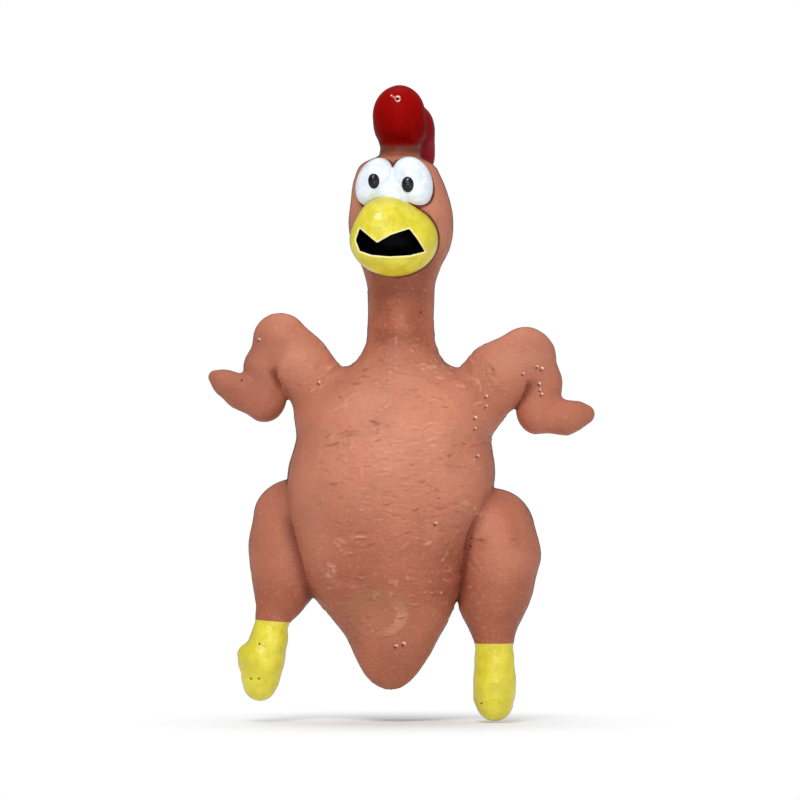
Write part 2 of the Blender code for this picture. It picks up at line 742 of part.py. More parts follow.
def make_reed(mat):
    half = Vector((REED_HALF_WIDTH, 0.0, 0.0))
    low = Vector((PLUG_CENTRE.x, REED_Y, PLUG_CENTRE.z - REED_BELOW)) - half
    high = Vector((PLUG_CENTRE.x, REED_Y + REED_THICK, PLUG_CENTRE.z + REED_ABOVE)) + half
    return make_object("squeaker_reed", box(low, high), mat, smooth=False)


def make_reed_clip(mat):
    front = REED_Y + REED_THICK + GAP
    half = Vector((CLIP_HALF_WIDTH, 0.0, 0.0))
    low = Vector((PLUG_CENTRE.x, front, PLUG_CENTRE.z + CLIP_HEIGHTS[0])) - half
    high = Vector((PLUG_CENTRE.x, front + CLIP_THICK, PLUG_CENTRE.z + CLIP_HEIGHTS[1])) + half
    return make_object("squeaker_reed_clip", box(low, high), mat, smooth=False)


def main():
    clear_scene()
    skin = skin_material()
    yellow = yellow_material()
    red = red_material()
    white = white_material()
    black = black_material()
    plastic = plastic_material()
    make_torso(skin)
    make_belly_panel(skin)
    make_tail(skin)
    make_neck("neck_lower", NECK_FOOT, NECK_MIDDLE, skin)
    make_neck("neck_upper", NECK_MIDDLE, NECK_TOP, skin)
    make_head(skin)
    make_comb_front(red)
    make_comb_rear(red)
    make_eye("eye_left", EYE_LEFT, white)
    make_eye("eye_right", EYE_RIGHT, white, other=EYE_LEFT)
    make_pupil("pupil_left", PUPIL_LEFT, EYE_LEFT, black)
    make_pupil("pupil_right", PUPIL_RIGHT, EYE_RIGHT, black)
    make_beak_upper(yellow)
    make_beak_lower(yellow)
    make_mouth_lining(black)
    make_wing("wing_left", WING_LEFT, skin)
    make_wing("wing_right", WING_RIGHT, skin)
    make_hand("hand_left", WING_LEFT, skin)
    make_hand("hand_right", WING_RIGHT, skin)
    make_thigh("thigh_left", THIGH_LEFT_STATIONS, HIP_LEFT, ANKLE_LEFT, skin)
    make_thigh("thigh_right", THIGH_RIGHT_STATIONS, HIP_RIGHT, ANKLE_RIGHT, skin)
    make_foot("foot_left", FOOT_LEFT_PATH, FOOT_LEFT_TOE, ANKLE_LEFT, yellow)
    make_foot("foot_right", FOOT_RIGHT_PATH, FOOT_RIGHT_TOE, ANKLE_RIGHT, yellow)
    make_plug(skin)
    make_squeaker_cup(plastic)
    make_squeaker_cap(plastic)
    make_reed(plastic)
    make_reed_clip(plastic)


main()
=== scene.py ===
import json
import math

import bmesh
import bpy
import numpy as np
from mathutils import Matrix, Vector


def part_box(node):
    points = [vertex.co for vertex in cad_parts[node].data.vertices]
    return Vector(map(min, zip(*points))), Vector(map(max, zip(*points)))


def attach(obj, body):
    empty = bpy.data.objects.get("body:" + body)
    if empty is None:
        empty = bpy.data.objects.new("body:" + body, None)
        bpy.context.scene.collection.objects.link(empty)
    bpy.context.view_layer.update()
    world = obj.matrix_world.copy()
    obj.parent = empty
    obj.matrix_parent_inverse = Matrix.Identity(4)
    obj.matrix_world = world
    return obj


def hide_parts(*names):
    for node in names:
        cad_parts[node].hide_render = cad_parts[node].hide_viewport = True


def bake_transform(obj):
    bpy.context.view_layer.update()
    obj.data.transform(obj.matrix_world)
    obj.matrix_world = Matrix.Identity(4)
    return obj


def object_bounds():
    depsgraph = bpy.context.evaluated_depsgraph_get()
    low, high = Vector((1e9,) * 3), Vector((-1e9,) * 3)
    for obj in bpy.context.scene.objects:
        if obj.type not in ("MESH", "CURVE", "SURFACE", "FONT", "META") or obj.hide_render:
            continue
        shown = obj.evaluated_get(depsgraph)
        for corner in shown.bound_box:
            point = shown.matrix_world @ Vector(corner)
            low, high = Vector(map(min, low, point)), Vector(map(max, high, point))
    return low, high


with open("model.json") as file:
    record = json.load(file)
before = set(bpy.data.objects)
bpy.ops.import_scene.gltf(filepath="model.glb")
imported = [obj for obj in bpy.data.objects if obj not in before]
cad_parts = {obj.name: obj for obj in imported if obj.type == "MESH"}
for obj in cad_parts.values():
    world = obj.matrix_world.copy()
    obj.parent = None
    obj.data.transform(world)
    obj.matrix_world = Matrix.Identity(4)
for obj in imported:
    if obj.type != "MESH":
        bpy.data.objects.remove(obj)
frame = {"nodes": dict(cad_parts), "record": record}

import openvdb
from mathutils import Vector

# The visual model of the rubber chicken. Shapes are smooth fields in millimetres, in the CAD model's frame. A
# field is below zero inside the rubber. It is meshed and cut into pieces; the head, the torso, the face and
# the plug are tied to their bodies.

MM = 0.001
cad_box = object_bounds()
JOINTS = {joint["name"]: joint for joint in frame["record"]["behaviour"]["joints"]}


def pivot(name):
    """A joint's pivot, in millimetres."""
    return np.array(JOINTS[name]["pos_m"]) / MM


def node_box(name):
    """A CAD node's centre and half sizes, in millimetres."""
    low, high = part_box(name)
    low, high = np.array(low) / MM, np.array(high) / MM
    return (low + high) / 2.0, (high - low) / 2.0


def offset(point, x=0.0, y=0.0, z=0.0):
    return np.array([point[0] + x, point[1] + y, point[2] + z])


# ---- places

NECK_FOOT = pivot("neck_side_bend")
NECK_NOD = pivot("neck_nod")
NECK_TOP = pivot("head_turn")
TAIL = pivot("tail_flick")
COMB = pivot("comb_flop")
PLUG, PLUG_HALF = node_box("belly_plug")
SIDES = ("left", "right")
SIGN = {"left": -1.0, "right": 1.0}
SHOULDER = {side: pivot(f"wing_{side}_lift") for side in SIDES}
WRIST = {side: pivot(f"hand_{side}_flick") for side in SIDES}
HIP = {side: pivot(f"hip_{side}_swing") for side in SIDES}
ANKLE = {side: pivot(f"ankle_{side}_flex") for side in SIDES}
TAIL_TIP_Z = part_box("tail_skin")[0].z / MM
CROWN_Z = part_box("head_skin")[1].z / MM

# ---- field tools


def smooth_min(a, b, radius):
    """The union of two fields, with a fillet of about this radius."""
    near = np.maximum(radius - np.abs(a - b), 0.0) / radius
    return np.minimum(a, b) - near * near * radius * 0.25


def smooth_max(a, b, radius):
    return -smooth_min(-a, -b, radius)


def ellipsoid(p, centre, radii):
    q = (p - centre) / radii
    reach = np.sqrt((q * q).sum(-1))
    slope = np.sqrt(((q / radii) ** 2).sum(-1)) + 1e-6
    return (reach - 1.0) * reach / slope


def round_cone(p, start, start_radius, end, end_radius, depth=1.0):
    """Two balls joined by a straight taper; depth scales it along Y about its own middle."""
    start, end = np.asarray(start, float), np.asarray(end, float)
    axis = end - start
    span = float(axis @ axis)
    rel = p - start
    middle_y = axis[1] * np.clip((rel @ axis) / span, 0.0, 1.0)
    rel = rel.copy()
    rel[..., 1] = middle_y + (rel[..., 1] - middle_y) / depth
    along = np.clip((rel @ axis) / span, 0.0, 1.0)
    away = rel - along[..., None] * axis
    radius = start_radius + (end_radius - start_radius) * along
    return np.sqrt((away * away).sum(-1)) - radius


def balls_from(point, rows):
    """Balls (x, y, z, r) whose rows count their centres from a point."""
    return [(*offset(point, *row[:3]), row[3]) for row in rows]


def chain(p, balls, fillet=2.0, depth=1.0):
    """Balls joined one to the next."""
    field = None
    for first, second in zip(balls, balls[1:]):
        part = round_cone(p, first[:3], first[3], second[:3], second[3], depth)
        field = part if field is None else smooth_min(field, part, fillet)
    return field


def smooth_curve(stations, column, squared=False):
    """A dense smooth curve through one column of the stations, as (heights, values)."""
    z = np.array([row[0] for row in stations], float)
    v = np.array([row[column] for row in stations], float)
    if squared:
        v = v * v
    slope = np.gradient(v, z)
    dense = np.linspace(z[0], z[-1], 1500)
    k = np.clip(np.searchsorted(z, dense, side="right") - 1, 0, len(z) - 2)
    span = z[k + 1] - z[k]
    t = (dense - z[k]) / span
    value = (
        (2 * t**3 - 3 * t**2 + 1) * v[k]
        + (t**3 - 2 * t**2 + t) * slope[k] * span
        + (3 * t**2 - 2 * t**3) * v[k + 1]
        + (t**3 - t**2) * slope[k + 1] * span
    )
    if squared:
        value = np.sqrt(np.maximum(value, 1e-4))
    return dense, value


# ---- the body column, tail tip to crown

# height, middle x, half width, front depth, back depth
COLUMN = (
    (TAIL_TIP_Z, -2.6, 0.0, 0.0, 0.0),
    (10.8, -2.7, 5.9, 3.6, 3.4),
    (15.6, -2.5, 9.0, 5.8, 5.2),
    (21.0, -2.3, 11.8, 8.0, 7.0),
    (26.5, -3.0, 15.3, 10.2, 9.4),
    (32.0, -4.2, 18.6, 12.9, 12.4),
    (39.5, -5.0, 20.9, 16.0, 15.4),
    (47.0, -4.7, 23.2, 18.6, 17.6),
    (56.0, -3.2, 25.7, 20.4, 19.2),
    (63.0, -2.4, 25.8, 20.8, 19.8),
    (70.5, -2.0, 24.5, 19.9, 19.2),
    (77.0, -1.0, 25.6, 17.8, 17.4),
    (82.0, -0.4, 23.0, 15.6, 15.2),
    (86.5, -0.4, 15.8, 12.8, 12.6),
    (89.5, -0.5, 11.4, 10.4, 10.2),
    (93.0, -0.3, 9.2, 8.8, 8.8),
    (98.0, -0.2, 8.5, 8.2, 8.3),
    (104.5, -0.2, 8.3, 8.0, 8.1),
    (109.5, -0.2, 8.6, 8.3, 8.5),
    (113.5, 0.0, 9.9, 9.6, 10.2),
    (118.0, 0.0, 12.1, 11.4, 12.4),
    (124.0, -0.1, 13.1, 12.4, 14.2),
    (130.0, -0.3, 12.3, 12.2, 13.8),
    (135.5, -0.8, 10.8, 11.0, 12.2),
    (139.5, -1.0, 8.2, 8.6, 9.6),
    (CROWN_Z, -1.0, 0.0, 0.0, 0.0),
)
COLUMN_MIDDLE = smooth_curve(COLUMN, 1)
COLUMN_WIDTH = smooth_curve(COLUMN, 2, squared=True)
COLUMN_FRONT = smooth_curve(COLUMN, 3, squared=True)
COLUMN_BACK = smooth_curve(COLUMN, 4, squared=True)


def column(p):
    z = p[..., 2]
    dx = p[..., 0] - np.interp(z, *COLUMN_MIDDLE)
    dy = p[..., 1]
    half_x = np.interp(z, *COLUMN_WIDTH)
    half_y = np.where(dy < 0.0, np.interp(z, *COLUMN_FRONT), np.interp(z, *COLUMN_BACK))
    reach = np.sqrt((dx / half_x) ** 2 + (dy / half_y) ** 2)
    slope = np.sqrt((dx / half_x**2) ** 2 + (dy / half_y**2) ** 2)
    field = (reach - 1.0) * reach / (slope + 1e-6)
    inside = -np.minimum(half_x, half_y)
    field = np.where(reach < 0.3, inside * 0.7, field)
    beyond = np.maximum(TAIL_TIP_Z - z, z - CROWN_Z)
    return np.where(beyond > 0.0, np.hypot(beyond, np.maximum(field, 0.0)), field)


# ---- limbs

# fillets where one part of the casting meets the next, and how deep a limb is for its width
SHOULDER_FILLET, FOREARM_FILLET, WRIST_FILLET = 3.0, 0.8, 1.4
HIP_FILLET, ANKLE_FILLET, SPUR_FILLET = 1.1, 1.5, 1.0
STALK_FILLET, COMB_FILLET = 3.0, 1.6
HAND_TAPER_FILLET, THIGH_TAPER_FILLET = 2.5, 2.5
WING_DEPTH, HAND_DEPTH = 0.92, 0.85
THIGH_DEPTH = {"left": 0.95, "right": 1.04}

ELBOW = {
    "left": offset(SHOULDER["left"], -10.7, 0.0, 10.4),
    "right": offset(SHOULDER["right"], 12.0, 0.0, 8.0),
}
ELBOW_RADIUS = {"left": 6.95, "right": 7.35}
# offsets from the shoulder, and radius
UPPER_WING = {
    "left": ((0.0, 0.0, -3.0, 7.9), (-6.3, 0.0, 5.0, 7.4)),
    "right": ((-0.5, 0.0, -2.5, 8.2), (5.3, 0.0, 3.1, 8.15)),
}


def upper_wing(p, side):
    balls = balls_from(SHOULDER[side], UPPER_WING[side])
    balls.append((*ELBOW[side], ELBOW_RADIUS[side]))
    return chain(p, balls, depth=WING_DEPTH)


# the first row counts from the elbow, the others from the wrist
FOREARM = {
    "left": ((-0.5, 0.0, -2.4, 6.7), (0.6, 1.0, 8.2, 5.6), (0.2, 0.7, 1.5, 5.3)),
    "right": ((0.6, -0.1, -1.2, 7.1), (0.1, 0.2, 7.6, 5.3), (0.0, 0.0, 1.5, 5.4)),
}


def forearm(p, side):
    balls = balls_from(ELBOW[side], FOREARM[side][:1]) + balls_from(WRIST[side], FOREARM[side][1:])
    return chain(p, balls, depth=WING_DEPTH)


# offsets from the wrist, and radius
HAND = {
    "left": (
        (-0.2, -1.0, 0.0, 5.5),
        (-6.0, -0.8, 2.3, 4.0),
        (-10.4, -0.6, 4.6, 2.6),
        (-12.7, -0.4, 5.9, 1.2),
    ),
    "right": (
        (0.0, -1.0, 0.0, 5.4),
        (6.5, -0.8, -1.1, 3.9),
        (10.2, -0.6, -0.3, 2.6),
        (12.1, -0.4, -0.2, 1.6),
    ),
}


def hand(p, side):
    return chain(p, balls_from(WRIST[side], HAND[side]), HAND_TAPER_FILLET, HAND_DEPTH)


# offsets from the hip, and radius
THIGH = {
    "left": (
        (4.3, 4.4, 1.1, 10.2),
        (3.2, 3.8, -6.0, 9.8),
        (2.3, 2.6, -13.4, 8.2),
        (0.8, 1.0, -18.9, 5.4),
        (-0.6, 0.0, -22.6, 3.8),
    ),
    "right": (
        (-3.9, 2.0, 0.2, 10.8),
        (-2.2, 1.7, -5.8, 9.9),
        (-3.0, 1.4, -13.5, 8.9),
        (-3.8, 0.8, -18.6, 7.7),
        (-3.6, 0.0, -24.0, 4.8),
        (-3.3, 0.0, -26.6, 4.4),
    ),
}


def thigh(p, side):
    return chain(p, balls_from(HIP[side], THIGH[side]), THIGH_TAPER_FILLET, THIGH_DEPTH[side])


# offsets from the ankle, and radius
FOOT = {
    "left": (
        (-0.6, 0.0, 1.0, 3.8),
        (-1.3, -0.2, -5.0, 4.1),
        (-3.0, -0.6, -10.2, 5.0),
        (-3.5, -0.4, -15.2, 4.2),
        (-3.7, -0.2, -16.9, 3.3),
    ),
    "right": (
        (-0.1, 0.0, 1.0, 4.3),
        (-0.1, -0.2, -4.6, 4.5),
        (-0.1, -0.6, -9.8, 4.9),
        (-0.2, -0.4, -13.8, 4.7),
        (0.0, -0.3, -15.7, 3.8),
    ),
}
# the left foot has a bent toe at its outer side
SPUR = ((-6.4, -0.4, -8.9, 2.8), (-6.6, -0.2, -10.8, 2.4))


def foot(p, side):
    field = chain(p, balls_from(ANKLE[side], FOOT[side]))
    if side == "left":
        field = smooth_min(field, chain(p, balls_from(ANKLE[side], SPUR)), SPUR_FILLET)
    return field


# lower point and radius, upper point and radius
COMB_STALK = (offset(COMB, 0.2, 0.2, -2.6), 5.6, offset(COMB, 0.2, 0.4, 1.0), 5.0)


def skin_field(p):
    """The whole casting: body, neck, head, wings, legs and feet."""
    field = column(p)
    for side in SIDES:
        field = smooth_min(field, upper_wing(p, side), SHOULDER_FILLET)
    for side in SIDES:
        wing = smooth_min(forearm(p, side), hand(p, side), WRIST_FILLET)
        field = smooth_min(field, wing, FOREARM_FILLET)
    for side in SIDES:
        leg = smooth_min(thigh(p, side), foot(p, side), ANKLE_FILLET)
        field = smooth_min(field, leg, HIP_FILLET)
    return smooth_min(field, round_cone(p, *COMB_STALK), STALK_FILLET)


# ---- meshing


def mesh_field(field, low, high, voxel):
    """Vertices (mm) and quads of a field's surface."""
    axes = [np.arange(low[i], high[i] + voxel, voxel) for i in range(3)]
    values = np.empty([len(axis) for axis in axes], np.float32)
    slab = 16
    for i in range(0, len(axes[0]), slab):
        grid = np.stack(np.meshgrid(axes[0][i : i + slab], axes[1], axes[2], indexing="ij"), -1)
        values[i : i + slab] = field(grid)
    limit = 3.0 * voxel
    values = np.clip(values, -limit, limit)
    grid = openvdb.FloatGrid(limit)
    grid.copyFromArray(values)
    points, triangles, quads = grid.convertToPolygons(0.0, 0.0)
    points = np.asarray(points, float) * voxel + np.asarray(low, float)
    faces = [tuple(quad) for quad in np.asarray(quads)] + [tuple(tri) for tri in np.asarray(triangles)]
    return points, faces


def gradient(field, points, step=0.05):
    out = np.empty_like(points)
    for axis in range(3):
        move = np.zeros(3)
        move[axis] = step
        out[:, axis] = (field(points + move) - field(points - move)) / (2.0 * step)
    return out


def settle(field, points, rounds=3):
    """Moves points onto the field's zero surface."""
    for _ in range(rounds):
        slope = gradient(field, points)
        size = (slope * slope).sum(1) + 1e-6
        move = (field(points) / size)[:, None] * slope
        length = np.sqrt((move * move).sum(1)) + 1e-9
        move *= np.minimum(1.0, 0.4 / length)[:, None]
        points = points - move
    return points


# ---- noise and surface relief

NOISE_SIDE = 32
NOISE = np.random.default_rng(11).uniform(-1.0, 1.0, (NOISE_SIDE,) * 3)


def noise(points, size):
    """Smooth seeded noise from -1 to 1; size is the wavelength, one number or one for each axis."""
    q = points / np.asarray(size, float) + 100.0
    cell = np.floor(q).astype(int)
    t = q - cell
    t = t * t * t * (t * (t * 6.0 - 15.0) + 10.0)
    total = np.zeros(len(points))
    for i in (0, 1):
        for j in (0, 1):
            for k in (0, 1):
                weight = np.ones(len(points))
                for axis, side in enumerate((i, j, k)):
                    weight = weight * (t[:, axis] if side else 1.0 - t[:, axis])
                corner = (cell + (i, j, k)) % NOISE_SIDE
                total += weight * NOISE[corner[:, 0], corner[:, 1], corner[:, 2]]
    return total


def fade(values, start, end):
    """0 before start, 1 after end, smooth between; start may be above end."""
    t = np.clip((values - start) / (end - start), 0.0, 1.0)
    return t * t * (3.0 - 2.0 * t)


def at_least(low, share):
    """Low where the share is 0, and 1 where it is 1."""
    return low + (1.0 - low) * share


def beside(points, place):
    """Each point's distance from a place (x, z), in the front view."""
    return np.hypot(points[:, 0] - place[0], points[:, 2] - place[1])


def ahead(points, y=-1.0):
    """1 on the front of the toy, 0 on its back."""
    return (points[:, 1] < y).astype(float)


# places (x, z) on the front with a trapped bubble: a small raised rim round a pit
BUBBLES = (
    (30.3, 86.5), (33.7, 88.3), (34.9, 87.8), (34.3, 84.0), (34.5, 82.4), (34.9, 81.4),
    (21.0, 80.9), (21.0, 78.4), (18.3, 75.6), (18.3, 72.9), (18.9, 66.1), (-35.5, 95.0),
    (-20.5, 84.3), (8.4, 49.4), (-1.4, 18.7), (0.5, 19.3),
)
BUBBLE_RIM = 0.4
# all in rim radii
RIM_WIDTH, RIM_HEIGHT = 0.45, 0.5
PIT_WIDTH, PIT_DEPTH = 0.6, 0.8
BUBBLE_SIZES = np.random.default_rng(3).uniform(0.65, 1.1, len(BUBBLES))
COMB_BUBBLE, COMB_BUBBLE_RIM = (-1.0, 155.1), 0.6
# pale dots on the comb, drawn only as painted highlights
COMB_DOTS, COMB_DOT_SIZES = ((-2.6, 155.8), (-2.1, 155.4)), (0.7, 0.6)
PINHOLES = (
    (4.9, 101.9), (-35.5, 19.3), (-35.6, 10.6), (-37.6, 10.6),
    (19.8, 4.3), (17.2, 45.6), (16.9, 43.6), (-39.9, 85.1),
)
PINHOLE_RADIUS, PINHOLE_DEPTH = 0.3, 0.3
# count, middle x, spread x, middle z, spread z, lean in radians, spread of the lean
WRINKLE_PATCHES = (
    (400, -1.0, 11.0, 66.0, 17.0, 0.0, 0.22),
    (26, 19.5, 3.0, 86.5, 2.6, -1.1, 0.3),
    (12, -19.0, 3.0, 87.0, 3.0, 0.9, 0.3),
)
WRINKLE_HEIGHT = 0.27
WRINKLE_HEIGHTS, RIDGE_OR_GROOVE = (0.4, 1.0), (-0.8, 1.0)
WRINKLE_LENGTHS, WRINKLE_BOWS, WRINKLE_WIDTHS = (0.6, 2.2), (-0.3, 0.15), (0.22, 0.44)
BACK_MIRROR_X, BACK_SHIFT_Z = 3.0, 6.0
# height and wavelength of the waves in the cast skin, from slow to fine
SLOW_WAVE, MIDDLE_WAVE = (0.14, 9.0), (0.06, 4.0)
CRINKLE, GRAIN = (0.045, (2.9, 2.6, 1.2)), (0.02, (1.3, 1.3, 0.8))
PEBBLE, PEBBLE_FADE = (0.16, 1.4), (0.42, 0.8)
# the rougher body ends in these fades, at its foot, at its neck and at its flanks
BODY_FOOT_Z, BODY_NECK_Z, BODY_FLANK_X = (16.0, 30.0), (104.0, 90.0), (27.0, 19.0)
# the collar round the plug: its middle (x, z) and its radii in the front view
COLLAR, COLLAR_RADII = (-6.1, 26.6), (6.9, 5.2)
COLLAR_HEIGHT = 0.16
COLLAR_OUTER, COLLAR_INNER = (0.75, 0.3), (-2.2, -0.4)


def wrinkles(points):
    """Short crescent ridges and grooves, scattered over the belly, the chest and the shoulders."""
    rng = np.random.default_rng(5)
    height = np.zeros(len(points))
    behind = points[:, 1] > 0.0
    x = np.where(behind, BACK_MIRROR_X - points[:, 0], points[:, 0])
    z = np.where(behind, points[:, 2] + BACK_SHIFT_Z, points[:, 2])
    for count, middle_x, spread_x, middle_z, spread_z, lean, lean_spread in WRINKLE_PATCHES:
        for _ in range(count):
            dx = x - rng.normal(middle_x, spread_x)
            dz = z - rng.normal(middle_z, spread_z)
            turn = rng.normal(lean, lean_spread)
            length = rng.uniform(*WRINKLE_LENGTHS)
            bow = rng.uniform(*WRINKLE_BOWS)
            width = rng.uniform(*WRINKLE_WIDTHS)
            lift = WRINKLE_HEIGHT * rng.uniform(*WRINKLE_HEIGHTS) * rng.choice(RIDGE_OR_GROOVE)
            near = (np.abs(dx) < 2.5 * length) & (np.abs(dz) < 2.5 * length)
            dx, dz = dx[near], dz[near]
            along = (math.cos(turn) * dx + math.sin(turn) * dz) / length
            across = (math.cos(turn) * dz - math.sin(turn) * dx - bow * length * along**2) / width
            bump = np.exp(-(along**2) - across**2) - 0.5 * np.exp(-((across - 1.6) ** 2))
            height[near] += lift * bump * np.exp(-(along**2))
    return height


def bubble_relief(points, place, rim_radius):
    away = beside(points, place) / rim_radius
    rim = np.exp(-(((away - 1.0) / RIM_WIDTH) ** 2))
    pit = np.exp(-((away / PIT_WIDTH) ** 2))
    return ahead(points) * rim_radius * (RIM_HEIGHT * rim - PIT_DEPTH * pit)


def collar_distance(points):
    """How far out of the middle of the plug's collar each point lies, in the front view."""
    across = (points[:, 0] - COLLAR[0]) / COLLAR_RADII[0]
    up = (points[:, 2] - COLLAR[1]) / COLLAR_RADII[1]
    return (np.hypot(across, up) - 1.0) * COLLAR_RADII[1]


def plug_collar(points):
    """The collar that holds the plug: a low swelling with a crisp lower edge, on the sloping front only."""
    away = collar_distance(points)
    lower = fade(points[:, 2], COLLAR[1] + 4.5, COLLAR[1] - 1.0)
    swelling = COLLAR_HEIGHT * fade(away, *COLLAR_OUTER) * fade(away, *COLLAR_INNER)
    return ahead(points, -2.0) * swelling * at_least(0.25, lower)


def waves(points, row):
    height, wavelength = row
    return height * noise(points, wavelength)


def relief(points):
    """How far the cast surface stands out of its smooth shape, in millimetres."""
    x, _, z = points.T
    body = fade(z, *BODY_FOOT_Z) * fade(z, *BODY_NECK_Z) * fade(np.abs(x), *BODY_FLANK_X)
    height = waves(points, SLOW_WAVE) + waves(points, MIDDLE_WAVE)
    height += waves(points, CRINKLE) * at_least(0.3, body)
    height += waves(points, GRAIN)
    height += PEBBLE[0] * fade(noise(points, PEBBLE[1]), *PEBBLE_FADE) * at_least(0.2, body)
    height += wrinkles(points)
    for place, size in zip(BUBBLES, BUBBLE_SIZES):
        height += bubble_relief(points, place, BUBBLE_RIM * size)
    for place in PINHOLES:
        pit = np.exp(-((beside(points, place) / PINHOLE_RADIUS) ** 2))
        height -= ahead(points, -0.5) * PINHOLE_DEPTH * pit
    height += bubble_relief(points, COMB_BUBBLE, COMB_BUBBLE_RIM)
    return height + plug_collar(points)


# ---- the head's own fields

# lobes: x, y, z, the three radii, the fillet to the lobes before, and the slant of x along y and along z
EYE_LOBES = (
    (-6.7, -8.9, 134.3, 4.7, 4.4, 6.1, 0.4, 0.0, 0.2),
    (2.6, -9.3, 134.1, 5.2, 4.6, 6.6, 0.4, 0.0, -0.13),
    (-1.9, -9.6, 131.2, 5.4, 3.9, 4.6, 0.4, 0.0, 0.0),
)
BEAK_LOBES = (
    (-1.9, -11.0, 119.9, 10.8, 9.0, 9.2, 2.5, 0.25, 0.0),
    (-3.3, -10.0, 125.1, 6.6, 8.4, 5.8, 2.5, 0.25, 0.0),
)
COMB_LOBES = (
    (-0.6, 1.0, 151.2, 6.5, 6.4, 7.7, 1.4, 0.0, 0.0),
    (-0.1, 1.4, 147.6, 6.5, 6.2, 5.4, 1.4, 0.0, 0.0),
    (2.5, 8.0, 147.4, 5.9, 6.6, 7.4, 1.2, 0.0, 0.0),
    (4.4, 10.8, 141.2, 3.9, 3.6, 5.0, 3.5, 0.0, 0.0),
)
# x, z and the two radii in the front view
PUPILS = ((-6.9, 134.4, 1.45, 1.95), (1.6, 133.6, 1.6, 2.0))
LIP_FILLET = 0.5
# x, z along the upper lip and back along the lower
MOUTH = (
    (-10.4, 122.5), (-6.1, 118.9), (-2.6, 120.9), (1.9, 122.4), (3.9, 119.8), (5.7, 116.9),
    (1.9, 115.9), (-3.0, 115.6), (-7.5, 116.0), (-10.3, 117.0), (-11.3, 119.6),
)
MOUTH_DEPTH, MOUTH_FLOOR_Y, MOUTH_WALL = 5.0, -8.0, 0.8
# left of this x the pocket gets shallower by this much for each millimetre
THIN_CORNER_X, THIN_CORNER_SLOPE = -7.0, 0.9
# the line that parts the upper beak from the lower: z at a given x, and its slope
LIP_LINE = (-11.4, 119.9, -0.15)


def lobes_field(p, lobes):
    field = None
    for x, y, z, rx, ry, rz, fillet, y_slant, z_slant in lobes:
        q = p.copy()
        q[..., 0] -= y_slant * (p[..., 1] - y) + z_slant * (p[..., 2] - z)
        lobe = ellipsoid(q, np.array([x, y, z]), np.array([rx, ry, rz]))
        field = lobe if field is None else smooth_min(field, lobe, fillet)
    return field


def eyes_field(p):
    return lobes_field(p, EYE_LOBES)


def beak_solid(p):
    return lobes_field(p, BEAK_LOBES)


def polygon_distance(p, corners):
    """Signed distance in the X-Z plane, below zero inside."""
    x, z = p[..., 0], p[..., 2]
    best = np.full(x.shape, 1e9)
    inside = np.zeros(x.shape, bool)
    for (ax, az), (bx, bz) in zip(corners, corners[1:] + corners[:1]):
        ex, ez = bx - ax, bz - az
        t = np.clip(((x - ax) * ex + (z - az) * ez) / (ex * ex + ez * ez), 0.0, 1.0)
        best = np.minimum(best, np.hypot(x - ax - t * ex, z - az - t * ez))
        crossing = (az > z) != (bz > z)
        with np.errstate(divide="ignore", invalid="ignore"):
            at = ax + (z - az) * ex / ez
        inside ^= crossing & (x < at)
    return np.where(inside, -best, best)


def mouth_field(p):
    """The open mouth: a pocket with the lips' outline, shallower at the corner where the beak is thin."""
    pocket = smooth_max(polygon_distance(p, MOUTH), -(beak_solid(p) + MOUTH_DEPTH), 0.6)
    shallower = THIN_CORNER_SLOPE * np.maximum(THIN_CORNER_X - p[..., 0], 0.0)
    return np.maximum(pocket, p[..., 1] - MOUTH_FLOOR_Y + shallower)


def beak_field(p):
    return smooth_max(beak_solid(p), -mouth_field(p), LIP_FILLET)


def head_and_skin_field(p):
    """The casting with its comb, hollowed behind the mouth."""
    field = smooth_min(skin_field(p), lobes_field(p, COMB_LOBES), COMB_FILLET)
    return smooth_max(field, MOUTH_WALL - mouth_field(p), 0.3)


# ---- regions of the skin

# distances out from the middle are given as "out"; heights as "z"
SHOULDER_Z, FLANK_LOW_Z, WING_HIGH_Z = 80.0, 73.0, 110.0
HAND_LOW_Z, HAND_TOP_Z, WRIST_ABOVE = 68.0, {"left": 84.0, "right": 78.0}, 9.0
SHOULDER_OUT, ARMPIT_OUT, WRIST_OUT, HIP_OUT = 10.0, 27.2, 28.5, 8.0
CROTCH_OUT = {"left": 22.0, "right": 15.0}
HIP_HIGH_Z = 70.0
# where a bend starts, out from the middle, and how wide it is
WING_BEND = {"left": (15.0, 9.5), "right": (13.5, 9.0)}
HAND_BEND = {"left": (30.5, 7.0), "right": (30.0, 7.5)}
# how far in height the same bends fade out, above the hand and below the shoulder
WRIST_FALL, FLANK_FALL = 6.0, 4.5
# out and z of a point on the hip's fold, its lean, and the width of the bend
HIP_CREASE = {"left": (22.5, 31.5, -0.265), "right": (13.4, 28.0, -0.305)}
HIP_WIDTH, HIP_EARLY = 6.0, 0.5
ANKLE_ABOVE, ANKLE_BELOW = 1.5, 4.5
# x, z and slope of the line where the yellow starts
PAINT_LINE = {"left": (-32.0, 24.9, 0.075), "right": (23.2, 19.3, 0.0)}
FAR = 200.0
